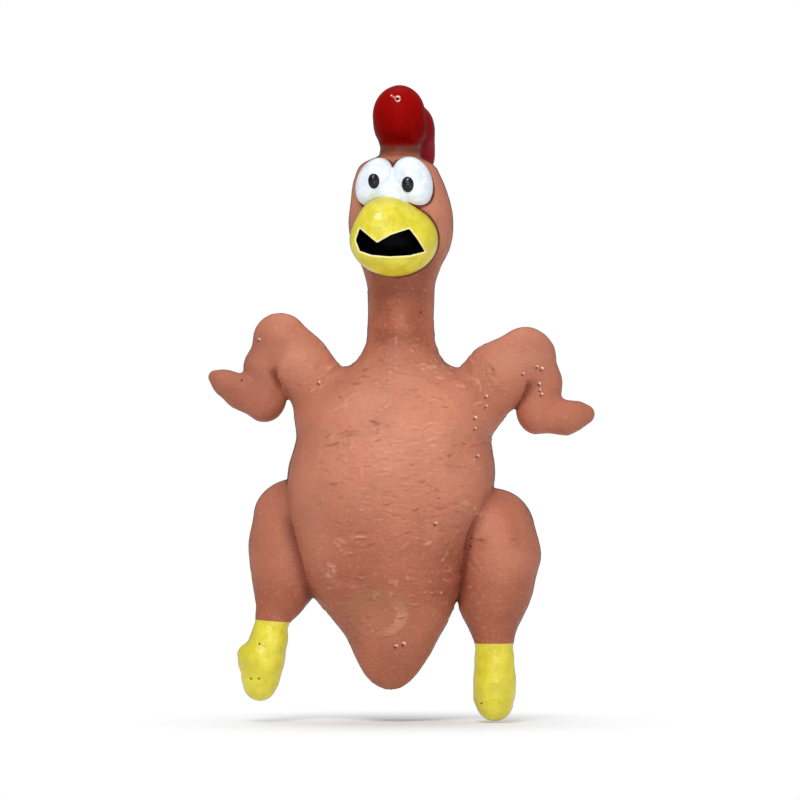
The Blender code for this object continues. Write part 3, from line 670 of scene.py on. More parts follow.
# pieces on the middle line: name, two bodies, a place, the bend's start and end from it, lowest z, highest z
# and how far out it goes
MIDDLE_BENDS = (
    ("tail", "torso", "tail", TAIL, (0, 0, 3.9), (0, 0, -4.1), 0.0, 22.0, 14.0),
    ("belly", "torso", "belly", (0, 0, 0), (0, -12.6, 0), (0, -21.0, 0), 28.0, 88.0, 24.0),
    ("neck_lower", "torso", "neck_lower", NECK_FOOT, (0, 0, -2.0), (0, 0, 5.5), 0.0, 98.0, FAR),
    ("neck_upper", "neck_lower", "neck_upper", NECK_NOD, (0, 0, -4.0), (0, 0, 4.0), 0.0, 106.25, FAR),
    ("neck_crown", "neck_upper", "head", NECK_TOP, (0, 0, -5.5), (0, 0, 3.5), 0.0, 116.5, FAR),
    ("comb", "head", "comb", COMB, (0, 0, -2.0), (0, 0, 2.5), 139.0, FAR, FAR),
)
HEAD_FOOT_Z = 116.0
# a piece starts this much before its bend
EDGE_MM = 1.0


def bend(a, b, start, end):
    return {"bodies": (a, b), "start": np.array(start, float), "end": np.array(end, float)}


def slant_bend(a, b, x_slope, z_slope, level, width):
    """A bend whose share is (x_slope*x + z_slope*z - level) / width."""
    direction = np.array([x_slope, 0.0, z_slope]) / (x_slope**2 + z_slope**2)
    return bend(a, b, direction * level, direction * (level + width))


def reaches(points, rule):
    """True from just before the bend starts."""
    step = rule["end"] - rule["start"]
    return (points - rule["start"]) @ step / np.sqrt(step @ step) > -EDGE_MM


def zone(side, nearest, low, high, furthest=FAR):
    """A test for face centres between two distances out from the middle, and between two heights."""

    def inside(centres):
        out, z = centres[:, 0], centres[:, 2]
        out = np.abs(out) if side == "both" else SIGN[side] * out
        return (out > nearest) & (out < furthest) & (z >= low) & (z < high)

    return inside


def wing_rules(side):
    """Rows of (piece name, bend, test on face centres) for one wing."""
    s = SIGN[side]
    wing, hand_body = f"wing_{side}", f"hand_{side}"
    start, width = WING_BEND[side]
    wrist, reach = HAND_BEND[side]
    top = HAND_TOP_Z[side]
    fall, flank_rise = -reach / WRIST_FALL, width / FLANK_FALL
    hand_bend = slant_bend(wing, hand_body, s, 0.0, wrist, reach)
    wrist_bend = slant_bend(wing, hand_body, s, fall, wrist + top * fall, reach)
    wing_bend = slant_bend("torso", wing, s, 0.0, start, width)
    flank_bend = slant_bend("torso", wing, s, flank_rise, start + SHOULDER_Z * flank_rise, width)
    return (
        (hand_body, hand_bend, zone(side, ARMPIT_OUT, HAND_LOW_Z, top)),
        (f"wrist_{side}", wrist_bend, zone(side, WRIST_OUT, top, top + WRIST_ABOVE)),
        (wing, wing_bend, zone(side, SHOULDER_OUT, SHOULDER_Z, WING_HIGH_Z)),
        (f"flank_{side}", flank_bend, zone(side, SHOULDER_OUT, FLANK_LOW_Z, SHOULDER_Z)),
    )


def leg_rules(side):
    """The same for one leg."""
    thigh_body, foot_body = f"thigh_{side}", f"foot_{side}"
    crease_out, crease_z, lean = HIP_CREASE[side]
    ankle = ANKLE[side]
    ankle_top = ankle[2] + ANKLE_ABOVE
    lower_leg = zone(side, CROTCH_OUT[side], 0.0, ankle_top)
    level = crease_out + lean * crease_z - HIP_EARLY
    hip_bend = slant_bend("torso", thigh_body, SIGN[side], lean, level, HIP_WIDTH)
    ankle_bend = bend(thigh_body, foot_body, ankle + (0, 0, ANKLE_ABOVE), ankle - (0, 0, ANKLE_BELOW))
    x, z, slope = PAINT_LINE[side]

    def below_paint_line(c):
        return (SIGN[side] * c[:, 0] > CROTCH_OUT[side]) & (c[:, 2] < z - slope * (c[:, 0] - x))

    return (
        (foot_body, ankle_bend, below_paint_line),
        (f"ankle_{side}", ankle_bend, lower_leg),
        (thigh_body, hip_bend, zone(side, HIP_OUT, ankle_top, HIP_HIGH_Z)),
    )


def skin_rules():
    """Every bending piece of the casting; the first row that a face matches takes it."""
    rows = []
    for side in SIDES:
        rows += [*wing_rules(side), *leg_rules(side)]
    for name, a, b, place, start, end, low, high, out in MIDDLE_BENDS:
        rule = bend(a, b, np.add(place, start), np.add(place, end))
        rows.append((name, rule, zone("both", -1.0, low, high, out)))
    return rows


# ---- whole-mesh tools


def cut_with_planes(points, faces, planes):
    """Adds edges where each plane (point mm, normal) crosses the mesh."""
    bm = bmesh.new()
    verts = [bm.verts.new(p) for p in points]
    for face in faces:
        bm.faces.new([verts[i] for i in face])
    for point, normal in planes:
        everything = bm.verts[:] + bm.edges[:] + bm.faces[:]
        bmesh.ops.bisect_plane(bm, geom=everything, dist=1e-4, plane_co=point, plane_no=normal)
    bm.verts.index_update()
    points = np.array([v.co for v in bm.verts], float)
    faces = [tuple(v.index for v in f.verts) for f in bm.faces]
    bm.free()
    return points, faces


def edges_of(face):
    """A face's edges, each with its lower vertex first."""
    return [(a, b) if a < b else (b, a) for a, b in zip(face, face[1:] + face[:1])]


def refine(points, faces, chosen=None):
    """Splits the chosen faces into quads, one for each corner; their neighbours gain the new corners."""
    if chosen is None:
        chosen = np.ones(len(faces), bool)
    middle_of = {}
    for face, split in zip(faces, chosen):
        for edge in edges_of(face) if split else ():
            middle_of.setdefault(edge, len(points) + len(middle_of))
    ends = np.array(list(middle_of))
    first_centre = len(points) + len(ends)
    centres, out = [], []
    for face, split in zip(faces, chosen):
        middles = [middle_of.get(edge) for edge in edges_of(face)]
        if split:
            centre = first_centre + len(centres)
            centres.append(points[list(face)].mean(0))
            for k, corner in enumerate(face):
                out.append((corner, middles[k], centre, middles[k - 1]))
        else:
            ring = []
            for corner, middle in zip(face, middles):
                ring += [corner] if middle is None else [corner, middle]
            out.append(tuple(ring))
    halves = (points[ends[:, 0]] + points[ends[:, 1]]) / 2.0
    return np.concatenate([points, halves, np.array(centres)]), out


def corner_arrays(faces):
    """Flat corner list, each corner's face, and each face's first corner."""
    counts = np.array([len(f) for f in faces])
    corners = np.fromiter((i for f in faces for i in f), int, counts.sum())
    starts = np.concatenate([[0], np.cumsum(counts)[:-1]])
    owner = np.repeat(np.arange(len(faces)), counts)
    return corners, owner, starts, counts


def face_centres(points, faces):
    corners, _, starts, counts = corner_arrays(faces)
    return np.add.reduceat(points[corners], starts) / counts[:, None]


def vertex_normals(points, faces):
    corners, owner, starts, counts = corner_arrays(faces)
    following = np.arange(len(corners)) + 1
    following[starts + counts - 1] = starts
    cross = np.cross(points[corners], points[corners[following]])
    face_normals = np.add.reduceat(cross, starts)
    total = np.zeros_like(points)
    for axis in range(3):
        total[:, axis] = np.bincount(corners, face_normals[owner, axis], len(points))
    return total / (np.linalg.norm(total, axis=1)[:, None] + 1e-12)


def new_object(name, data):
    obj = bpy.data.objects.new(name, data)
    bpy.context.scene.collection.objects.link(obj)
    return obj


def make_piece(name, points, faces, normals, attributes, material):
    """One object from some faces of a whole mesh, lit as if it were still whole."""
    used, flat = np.unique(corner_arrays(faces)[0], return_inverse=True)
    at = 0
    local = []
    for face in faces:
        local.append(tuple(int(i) for i in flat[at : at + len(face)]))
        at += len(face)
    mesh = bpy.data.meshes.new(name)
    mesh.from_pydata((points[used] * MM).tolist(), [], local)
    mesh.shade_smooth()
    mesh.normals_split_custom_set_from_vertices(normals[used].tolist())
    for key, values in attributes.items():
        kind, item = ("FLOAT_VECTOR", "vector") if values.ndim == 2 else ("FLOAT", "value")
        layer = mesh.attributes.new(key, kind, "POINT")
        layer.data.foreach_set(item, values[used].astype(np.float32).ravel())
    mesh.materials.append(material)
    return new_object(name, mesh)


# ---- materials


def srgb(red, green, blue):
    """Linear colour from 0-255 display values."""
    out = []
    for value in (red, green, blue):
        v = value / 255.0
        out.append(v / 12.92 if v <= 0.04045 else ((v + 0.055) / 1.055) ** 2.4)
    return (*out, 1.0)


def grey(value):
    return (value, value, value, 1.0)


class Graph:
    """A short way to write node graphs: a value may be a number, a colour or another node's output."""

    def __init__(self, tree):
        self.tree = tree
        tree.nodes.clear()

    def put(self, target, value):
        if isinstance(value, bpy.types.NodeSocket):
            self.tree.links.new(value, target)
        else:
            target.default_value = value

    def node(self, kind, settings=None, **inputs):
        made = self.tree.nodes.new(kind)
        for key, value in (settings or {}).items():
            setattr(made, key, value)
        for key, value in inputs.items():
            self.put(made.inputs[key.replace("_", " ")], value)
        return made

    def attribute(self, name, output="Fac"):
        return self.node("ShaderNodeAttribute", {"attribute_name": name}).outputs[output]

    def rest(self):
        """Where a point of the skin was when it was cast, in millimetres."""
        return self.scaled(self.attribute("rest", "Vector"), MM_SCALE)

    def noise(self, vector, scale, detail=2.0):
        return self.node("ShaderNodeTexNoise", Vector=vector, Scale=scale, Detail=detail).outputs["Fac"]

    def mapped(self, value, low, high, to_low=0.0, to_high=1.0):
        limits = {"From_Min": low, "From_Max": high, "To_Min": to_low, "To_Max": to_high}
        smooth = {"interpolation_type": "SMOOTHSTEP"}
        return self.node("ShaderNodeMapRange", smooth, Value=value, **limits).outputs["Result"]

    def mottle(self, vector, scale, detail, *limits):
        """Noise, spread out between its limits."""
        return self.mapped(self.noise(vector, scale, detail), *limits)

    def mix(self, factor, first, second, mode="MIX"):
        made = self.tree.nodes.new("ShaderNodeMix")
        made.data_type = "RGBA"
        made.blend_type = mode
        self.put(made.inputs[0], factor)
        self.put(made.inputs[6], first)
        self.put(made.inputs[7], second)
        return made.outputs[2]

    def layered(self, colour, *layers):
        """Lays colours over the first, one after the other; each row is (how strongly, colour)."""
        for strength, over in layers:
            colour = self.mix(strength, colour, over)
        return colour

    def ramp(self, value, stops):
        made = self.node("ShaderNodeValToRGB", Fac=value)
        ramp = made.color_ramp
        while len(ramp.elements) < len(stops):
            ramp.elements.new(0.5)
        for element, (place, colour) in zip(ramp.elements, stops):
            element.position = place
            element.color = colour
        return made.outputs["Color"]

    def scaled(self, vector, scale):
        made = self.node("ShaderNodeVectorMath", {"operation": "MULTIPLY"})
        self.put(made.inputs[0], vector)
        made.inputs[1].default_value = scale
        return made.outputs["Vector"]

    def bump(self, height, distance, normal=None):
        made = self.node("ShaderNodeBump", Height=height, Distance=distance)
        if normal is not None:
            self.put(made.inputs["Normal"], normal)
        return made.outputs["Normal"]

    def outlined(self, colour, dark):
        """Darkens the last sliver before the outline, where the surface turns away from the eye."""
        facing = self.node("ShaderNodeLayerWeight").outputs["Facing"]
        return self.mix(self.mapped(facing, *OUTLINE, 0.0, OUTLINE_STRENGTH), colour, dark)

    def finish(self, **inputs):
        shader = self.node("ShaderNodeBsdfPrincipled", **inputs)
        self.node("ShaderNodeOutputMaterial", Surface=shader.outputs["BSDF"])


def new_material(name):
    material = bpy.data.materials.new(name)
    material.use_nodes = True
    return material, Graph(material.node_tree)


MM_SCALE = (1000.0, 1000.0, 1000.0)
# how far the surface faces away where its outline starts to darken, and where it is darkest
OUTLINE, OUTLINE_STRENGTH = (0.76, 0.9), 0.85
SKIN_OUTLINE, YELLOW_OUTLINE, WHITE_OUTLINE = srgb(40, 12, 8), srgb(60, 48, 8), srgb(40, 30, 30)
# the skin's index of refraction, bare and under paint
SKIN_IOR, PAINT_IOR = 1.33, 1.08
PAINT_ROUGHNESS = 0.28
COMB_BACK_Y, COMB_HEIGHT_Z = (1.0, 9.0), (144.0, 157.0)
# skin colours from shaded to lit, for the painted light and shade
SHADED_TO_LIT_SKIN = (
    (0.0, srgb(146, 80, 58)),
    (0.2, srgb(165, 97, 73)),
    (0.33, srgb(172, 104, 80)),
    (0.66, srgb(184, 118, 93)),
    (1.0, srgb(200, 136, 110)),
)


def skin_colour(g, rest):
    """Brown-pink rubber, uneven in patches and specks, over a tone of painted light and shade, with painted
    shade in the creases.
    """
    # the painted light and shade, from shaded to lit skin
    lit_tone = g.ramp(g.attribute("lit_tone"), SHADED_TO_LIT_SKIN)
    blotch = g.mottle(rest, 0.09, 3.0, 0.3, 0.7, 0.92, 1.1)
    patches = g.node("ShaderNodeCombineColor", Red=blotch, Green=blotch, Blue=blotch).outputs[0]
    ground = g.mix(1.0, lit_tone, patches, "MULTIPLY")
    height = g.attribute("relief")
    return g.layered(
        ground,
        (g.mottle(rest, 0.22, 3.0, 0.5, 0.75, 0.0, 0.35), srgb(186, 102, 78)),
        (g.mottle(rest, 1.3, 2.0, 0.55, 0.75, 0.0, 0.3), srgb(206, 142, 114)),
        # painted highlight on the raised relief, and painted shade in the sunk relief
        (g.mapped(height, 0.08, 0.34, 0.0, 0.4), srgb(222, 158, 132)),
        (g.mapped(height, -0.08, -0.3, 0.0, 0.6), srgb(136, 66, 46)),
        (g.mapped(g.attribute("stain"), 0.0, 1.0, 0.0, 0.42), srgb(150, 106, 70)),
        # painted shade: the folds, the pits, the line round the face and the shadow under the comb
        (g.attribute("painted_shade"), srgb(92, 26, 10)),
        # painted highlights by the bubbles
        (g.attribute("painted_highlight"), srgb(250, 226, 210)),
    )


def skin_surface(g, rest, colour, cover):
    """Satin rubber with a fine crinkle; cover is where glossy paint lies over it."""
    creased = g.noise(g.scaled(rest, (0.35, 0.35, 1.25)), 1.7, 3.0)
    grained = g.bump(g.noise(rest, 3.0, 2.0), 0.00012)
    rough = g.mottle(rest, 0.5, 2.0, 0.3, 0.7, 0.42, 0.58)
    g.finish(
        Base_Color=g.outlined(colour, SKIN_OUTLINE),
        Roughness=g.mix(cover, rough, grey(PAINT_ROUGHNESS)),
        Normal=g.bump(g.mix(cover, creased, grey(0.5)), 0.0002, grained),
        IOR=g.mapped(cover, 0.0, 1.0, SKIN_IOR, PAINT_IOR),
    )


def skin_material():
    material, g = new_material("skin_rubber")
    rest = g.rest()
    skin_surface(g, rest, skin_colour(g, rest), 0.0)
    return material


def painted_material():
    """The head's skin, dipped in glossy red on the comb: painted lighter towards its top, where the light
    falls, and purplish behind.
    """
    material, g = new_material("red_over_skin")
    rest = g.rest()
    place = g.node("ShaderNodeSeparateXYZ", Vector=rest)
    # painted light: the red darkens towards the comb's foot and brightens to its top
    height = g.mapped(place.outputs["Z"], *COMB_HEIGHT_Z)
    red = g.layered(
        g.mix(height, srgb(104, 1, 1), srgb(140, 8, 6)),
        (g.mottle(rest, 0.25, 2.0, 0.35, 0.7, 0.0, 0.5), srgb(136, 4, 3)),
        (g.mapped(place.outputs["Y"], *COMB_BACK_Y), srgb(138, 20, 38)),
        # painted highlights on the comb's bubble ring and dots
        (g.attribute("painted_highlight"), srgb(255, 214, 208)),
    )
    cover = g.attribute("paint")
    skin_surface(g, rest, g.mix(cover, skin_colour(g, rest), red), cover)
    return material


def yellow_material(name):
    """Thick satin yellow with a faint mottle and painted shade in the hollows."""
    material, g = new_material(name)
    rest = g.rest()
    yellow = g.layered(
        srgb(200, 187, 34),
        (g.mottle(rest, 0.3, 3.0, 0.3, 0.7), srgb(219, 206, 52)),
        (g.mottle(rest, 1.6, 2.0, 0.55, 0.8, 0.0, 0.5), srgb(229, 219, 92)),
        (g.attribute("rim"), srgb(248, 244, 196)),
        # painted shade in the hollows and pinholes of the feet
        (g.attribute("painted_shade"), srgb(64, 52, 8)),
        (g.attribute("inside"), srgb(3, 3, 4)),
    )
    g.finish(
        Base_Color=g.outlined(yellow, YELLOW_OUTLINE),
        Roughness=g.mottle(rest, 0.6, 2.0, 0.3, 0.7, 0.3, 0.45),
        Normal=g.bump(g.noise(rest, 1.1, 3.0), 0.0002),
        Coat_Weight=0.15,
    )
    return material


def white_material():
    material, g = new_material("eye_white")
    rest = g.rest()
    white = g.mix(g.mottle(rest, 0.4, 2.0, 0.3, 0.7), srgb(207, 217, 226), srgb(226, 232, 238))
    g.finish(
        Base_Color=g.outlined(white, WHITE_OUTLINE),
        Roughness=0.25,
        Normal=g.bump(g.noise(rest, 0.8, 2.0), 0.0002),
        Coat_Weight=0.3,
    )
    return material


def black_material(name, roughness, shine):
    material, g = new_material(name)
    rest = g.rest()
    # the dark purple mottled into the black is painted glints
    black = g.mix(g.mottle(rest, 0.8, 2.0, 0.4, 0.8), srgb(3, 3, 4), srgb(16, 10, 26))
    g.finish(
        Base_Color=black,
        Roughness=roughness,
        Normal=g.bump(g.noise(rest, 1.4, 2.0), 0.0002),
        Specular_IOR_Level=shine,
    )
    return material


def squeaker_material():
    """Milky moulded plastic, for the squeaker inside the belly."""
    material, g = new_material("squeaker_plastic")
    place = g.scaled(g.node("ShaderNodeTexCoord").outputs["Object"], MM_SCALE)
    milky = g.mix(g.mottle(place, 0.7, 2.0, 0.3, 0.7), srgb(222, 220, 210), srgb(240, 238, 230))
    g.finish(Base_Color=milky, Roughness=0.3, Normal=g.bump(g.noise(place, 1.0, 2.0), 0.0001))
    return material


# ---- the casting

COARSE_VOXEL, MARGIN = 1.0, 4.0
# piece names and the CAD nodes they stand for; a limb's piece has its node's name
PIECE_NODES = {
    "tail": ("tail_skin",),
    "belly": ("belly_panel",),
    "neck_lower": ("neck_lower",),
    "neck_upper": ("neck_upper",),
    "comb": ("comb_front_lobe", "comb_rear_lobe"),
    "torso": ("torso_skin",),
    "head": ("head_skin",),
}
for limb in ("wing", "hand", "thigh", "foot"):
    for side in SIDES:
        PIECE_NODES[f"{limb}_{side}"] = (f"{limb}_{side}",)

# how dark each kind of fold is, how wide its shade is, and between which heights it fades in
LEG_FOLD, LEG_FOLD_REACH, LEG_FOLD_Z = 0.75, 5.0, (56.0, 47.0)
ARM_FOLD, ARM_FOLD_REACH = 0.8, 3.5
ARM_FOLD_Z = {"left": (90.0, 86.5), "right": (86.5, 83.5)}
# painted shade over each forearm and hand, heavier on the left
LIMB_SHADE = {"left": 0.26, "right": 0.1}
# painted contact shade in a thin line round the eyes and the beak
FACE_CONTACT_SHADE = (0.75, 0.3)
# painted shadow under the comb's overhang, round its stalk
COMB_SHADE, COMB_SHADE_LOW_Z, COMB_SHADE_HIGH_Z = 0.9, (139.8, 142.6), (145.2, 144.4)
STALK_RIM, STALK_BACK_Y = (7.5, 5.5), 6.0
PAINT_FRONT_Z, PAINT_BACK_EDGE = (142.9, 144.3), (1.3, 0.4)
BUBBLE_SHADE, BUBBLE_SHADE_SHIFT, BUBBLE_GLINT_SHIFT = 0.8, (-0.25, -0.2), (0.1, 0.25)
BELLY_X = -3.0
# painted light and shade: a base level, paler towards the front, the upper wings and the head, darker on the
# neck under the head and round the lower belly
BASE_LIGHT = 0.3
# how much paler than that, or darker where below zero, and the fades (measure, start, end) that bound each
# patch
LIGHT_AND_SHADE_PATCHES = (
    (0.42, ("y", -4.0, -19.0)),
    (0.33, ("z", 82.0, 91.0), ("out", 12.0, 19.0)),
    (0.25, ("z", 114.0, 122.0)),
    (-0.38, ("z", 90.0, 97.0), ("z", 120.0, 112.0), ("y", -3.0, -7.5)),
    (-0.48, ("z", 70.0, 40.0), ("off_belly", 22.0, 12.0)),
    (0.35, ("z", 36.0, 24.0), ("off_belly", 22.0, 12.0)),
    (-0.25, ("z", 42.0, 31.0), ("off_belly", 16.0, 21.0)),
)
WRINKLED_OUT, WRINKLED_Y, WRINKLED_Z = 23.0, -7.0, (24.0, 96.0)
# smaller faces this near a bubble, one round for each distance
DETAIL_REACHES = (1.52, 1.42)


def fold_shade(limb, bulk, reach):
    """Dark in the fold between a limb and the body, wide on the limb's side and narrow on the body's."""
    on_limb = fade(bulk, reach, 0.0) * fade(np.abs(limb), 1.0, 0.5)
    on_body = fade(limb, 0.7, 0.1) * fade(np.abs(bulk), 1.0, 0.5)
    return np.maximum(on_limb**2, on_body)


def crease_shade(points):
    """Painted shade, from 0 to 1: in the folds, pinholes and bubble pits, round the face, under the comb and
    over the forearms and hands.
    """
    x, y, z = points.T
    body = column(points)
    shades = []
    for side in SIDES:
        leg = fold_shade(thigh(points, side), body, LEG_FOLD_REACH)
        shades.append(LEG_FOLD * leg * at_least(0.25, fade(z, *LEG_FOLD_Z)))
        bulk = smooth_min(body, upper_wing(points, side), SHOULDER_FILLET)
        arm = fold_shade(forearm(points, side), bulk, ARM_FOLD_REACH)
        shades.append(ARM_FOLD * arm * fade(z, *ARM_FOLD_Z[side]))
        # painted shade over the forearm and hand
        limb = np.minimum(forearm(points, side), hand(points, side))
        shades.append(LIMB_SHADE[side] * fade(limb, 1.5, 0.3))
    # painted shade in each pinhole, and a painted shadow beside each bubble's pit
    for place in PINHOLES:
        shades.append(ahead(points, -0.5) * fade(beside(points, place), 0.38, 0.12))
    for place, size in zip(BUBBLES, BUBBLE_SIZES):
        away = beside(points, np.add(place, BUBBLE_SHADE_SHIFT))
        shades.append(BUBBLE_SHADE * ahead(points) * fade(away, 0.62 * size, 0.15))
    # painted contact shade round the eyes and the beak
    shades.append(fade(np.minimum(eyes_field(points), beak_solid(points)), *FACE_CONTACT_SHADE))
    # painted shadow under the comb
    under_comb = fade(z, *COMB_SHADE_LOW_Z) * fade(z, *COMB_SHADE_HIGH_Z) * (y < STALK_BACK_Y)
    round_stalk = fade(np.hypot(x - COMB[0], y - COMB[1]), *STALK_RIM)
    shades.append(COMB_SHADE * under_comb * round_stalk)
    return np.maximum.reduce(shades)


def painted_light_tone(points):
    """Painted light and shade, from 0 to 1: paler towards the front, darker on the neck under the head and
    round the lower belly.
    """
    x, y, z = points.T
    measures = {"y": y, "z": z, "out": np.abs(x), "off_belly": np.abs(x - BELLY_X)}
    lit_tone = np.full(len(points), BASE_LIGHT)
    for amount, *fades in LIGHT_AND_SHADE_PATCHES:
        patch = amount
        for measure, start, end in fades:
            patch = patch * fade(measures[measure], start, end)
        lit_tone += patch
    return np.clip(lit_tone, 0.0, 1.0)


def comb_paint(points):
    """Where the red covers the head: above the stalk in front, and down the back lobe behind."""
    front = fade(points[:, 2], *PAINT_FRONT_Z)
    back_lobe = lobes_field(points, COMB_LOBES[2:])
    return np.maximum(front, fade(back_lobe, *PAINT_BACK_EDGE))


def painted_highlights(points):
    """Painted highlights: a pale spot by each bubble and comb dot, and a broken pale ring round the comb's
    bubble.
    """
    painted_highlight = np.zeros(len(points))
    for place, size in zip((*BUBBLES, *COMB_DOTS), (*BUBBLE_SIZES, *COMB_DOT_SIZES)):
        away = beside(points, np.add(place, BUBBLE_GLINT_SHIFT))
        painted_highlight = np.maximum(painted_highlight, (0.25 + 0.6 * size) * fade(away, 0.42 * size, 0.2 * size))
    off_ring = np.abs(beside(points, COMB_BUBBLE) - COMB_BUBBLE_RIM)
    broken = at_least(0.3, fade(noise(points, 0.8), -0.4, 0.2))
    return ahead(points) * np.maximum(painted_highlight, 0.85 * broken * fade(off_ring, 0.26, 0.08))


def plug_stain(points):
    """An olive tint on the collar and the plug, strongest over the top of the collar."""
    away = collar_distance(points)
    upper = fade(points[:, 2], COLLAR[1] - 1.0, COLLAR[1] + 4.0)
    on_collar = fade(np.abs(away + 0.2), 1.5, 0.4) * at_least(0.45, upper)
    haze = (0.3 + 0.5 * upper) * fade(away, 3.0, 0.0)
    return np.maximum(on_collar, haze) * fade(points[:, 1], -3.0, -6.0)


def refine_details(points, faces):
    """Smaller faces on the wrinkled belly, and smaller still round each bubble."""
    x, y, z = face_centres(points, faces).T
    wrinkled = (np.abs(x) < WRINKLED_OUT) & (y < WRINKLED_Y)
    wrinkled &= (z > WRINKLED_Z[0]) & (z < WRINKLED_Z[1])
    points, faces = refine(points, faces, wrinkled)
    for reach in DETAIL_REACHES:
        centres = face_centres(points, faces)
        near = np.zeros(len(faces), bool)
        for place in (*BUBBLES, *PINHOLES, *COMB_DOTS, COMB_BUBBLE):
            near |= beside(centres, place) < reach
        points, faces = refine(points, faces, near & (centres[:, 1] < -1.0))
    return settle(head_and_skin_field, points, 1), faces


def build_skin():
    low = np.array(cad_box[0]) / MM - MARGIN
    high = np.array(cad_box[1]) / MM + MARGIN
    points, faces = mesh_field(head_and_skin_field, low, high, COARSE_VOXEL)
    points = settle(head_and_skin_field, points, 2)
    points, faces = refine(points, faces)
    points = settle(head_and_skin_field, points, 1)
    planes = [((0, 0, z), (0, 0, 1)) for z in (SHOULDER_Z, *HAND_TOP_Z.values())]
    for x, z, slope in PAINT_LINE.values():
        planes.append(((x, 0, z), (slope, 0, 1)))
    points, faces = cut_with_planes(points, faces, planes)
    points, faces = refine_details(points, faces)
    rest = points.copy()
    height = relief(rest)
    points = points + vertex_normals(points, faces) * height[:, None]
    normals = vertex_normals(points, faces)
    attributes = {
        "rest": rest * MM,
        "relief": height,
        "painted_shade": crease_shade(rest),
        "paint": comb_paint(rest),
        "stain": plug_stain(rest),
        "lit_tone": painted_light_tone(rest),
        "painted_highlight": painted_highlights(rest),
    }
    return points, faces, normals, attributes


def split_skin(points, faces, normals, attributes):
    """Cuts the casting into its pieces, ties the head and the torso to their bodies, hides the CAD nodes, and
    returns the skin's material.
    """
    centres = face_centres(points, faces)
    free = np.ones(len(faces), bool)
    skin, red, yellow = skin_material(), painted_material(), yellow_material("foot_yellow")
    made = {}

    def take(name, chosen, material):
        picked = [faces[i] for i in np.flatnonzero(chosen)]
        made[name] = make_piece(f"skin_{name}", points, picked, normals, attributes, material)

    for name, rule, test in skin_rules():
        chosen = free & test(centres) & reaches(centres, rule)
        free &= ~chosen
        if not chosen.any():
            continue
        if name == "comb":
            take(name, chosen, red)
        elif name.startswith("foot"):
            take(name, chosen, yellow)
        else:
            take(name, chosen, skin)
        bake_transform(made[name])
    above = centres[:, 2] > HEAD_FOOT_Z
    for name, chosen, material in (("head", free & above, red), ("torso", free & ~above, skin)):
        take(name, chosen, material)
        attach(made[name], name)
    for name, nodes in PIECE_NODES.items():
        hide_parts(*nodes)
    return skin


# ---- face


def feature_mesh(field, low, high, voxel, rounds=2):
    points, faces = mesh_field(field, np.array(low, float), np.array(high, float), voxel)
    return settle(field, points, rounds), faces


LIP_RIM_WIDTH = 0.3
MOUTH_BLACK_DEPTH, MOUTH_BLACK_EDGE = (-0.3, -0.55), (0.6, 0.4)
EYE_BOX = ((-13, -15, 126), (10, -1, 142))
BEAK_BOX = ((-16, -23, 108), (13, 1, 134))
FACE_VOXEL, PUPIL_VOXEL = 0.3, 0.2
PUPIL_DEPTH, PUPIL_SUNK = 0.95, 0.35


def front_of(field, x, z, start=-30.0, end=0.0):
    """The frontmost y where a field's surface lies, at a given x and z."""
    ys = np.linspace(start, end, 600)
    line = np.stack([np.full_like(ys, x), ys, np.full_like(ys, z)], -1)
    return ys[np.argmax(field(line) < 0.0)]


def feature_pieces(points, faces, body, attributes, *groups):
    """groups: rows of (piece name, chosen faces, material, slot, CAD nodes)."""
    normals = vertex_normals(points, faces)
    for piece, chosen, material, slot_name, nodes in groups:
        picked = [faces[i] for i in np.flatnonzero(chosen)]
        obj = make_piece(piece, points, picked, normals, attributes, material)
        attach(obj, body)
        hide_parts(*nodes)


def face_attributes(points):
    """A pale rim along the lips, and black from just inside them."""
    to_lips, shell = polygon_distance(points, MOUTH), beak_solid(points)
    rim = np.exp(-((np.abs(to_lips) / LIP_RIM_WIDTH) ** 2)) * (shell > -1.0)
    inside = fade(shell, *MOUTH_BLACK_DEPTH) * fade(to_lips, *MOUTH_BLACK_EDGE)
    return {"rest": points * MM, "painted_shade": np.zeros(len(points)), "rim": rim, "inside": inside}


def build_eyes():
    points, faces = feature_mesh(eyes_field, *EYE_BOX, FACE_VOXEL)
    group = ("eye_whites", np.ones(len(faces)), white_material(), "eye_white", ("eye_left", "eye_right"))
    feature_pieces(points, faces, "head", face_attributes(points), group)
    black = black_material("pupil_black", 0.15, 0.4)
    for (x, z, rx, rz), node in zip(PUPILS, ("pupil_left", "pupil_right")):
        y = front_of(eyes_field, x, z)
        centre, radii = np.array([x, y + PUPIL_SUNK, z]), np.array([rx, PUPIL_DEPTH, rz])

        def pupil(p, centre=centre, radii=radii):
            return ellipsoid(p, centre, radii)

        points, faces = feature_mesh(pupil, centre - radii - 1, centre + radii + 1, PUPIL_VOXEL)
        group = (f"{node}_dome", np.ones(len(faces)), black, "pupil", (node,))
        feature_pieces(points, faces, "head", face_attributes(points), group)


def build_beak():
    points, faces = feature_mesh(beak_field, *BEAK_BOX, FACE_VOXEL)
    centres = face_centres(points, faces)
    to_lips = polygon_distance(centres, MOUTH)
    in_mouth = (to_lips < -0.25) | ((to_lips < 0.35) & (beak_solid(centres) < -0.9))
    line_x, line_z, slope = LIP_LINE
    upper = centres[:, 2] > line_z + slope * (centres[:, 0] - line_x)
    yellow = yellow_material("beak_yellow")
    feature_pieces(
        points,
        faces,
        "head",
        face_attributes(points),
        ("mouth_inside", in_mouth, black_material("mouth_black", 0.5, 0.05), "mouth", ("mouth_lining",)),
        ("beak_top", ~in_mouth & upper, yellow, "beak", ("beak_upper",)),
        ("beak_bottom", ~in_mouth & ~upper, yellow, "beak", ("beak_lower",)),
    )


# ---- plug

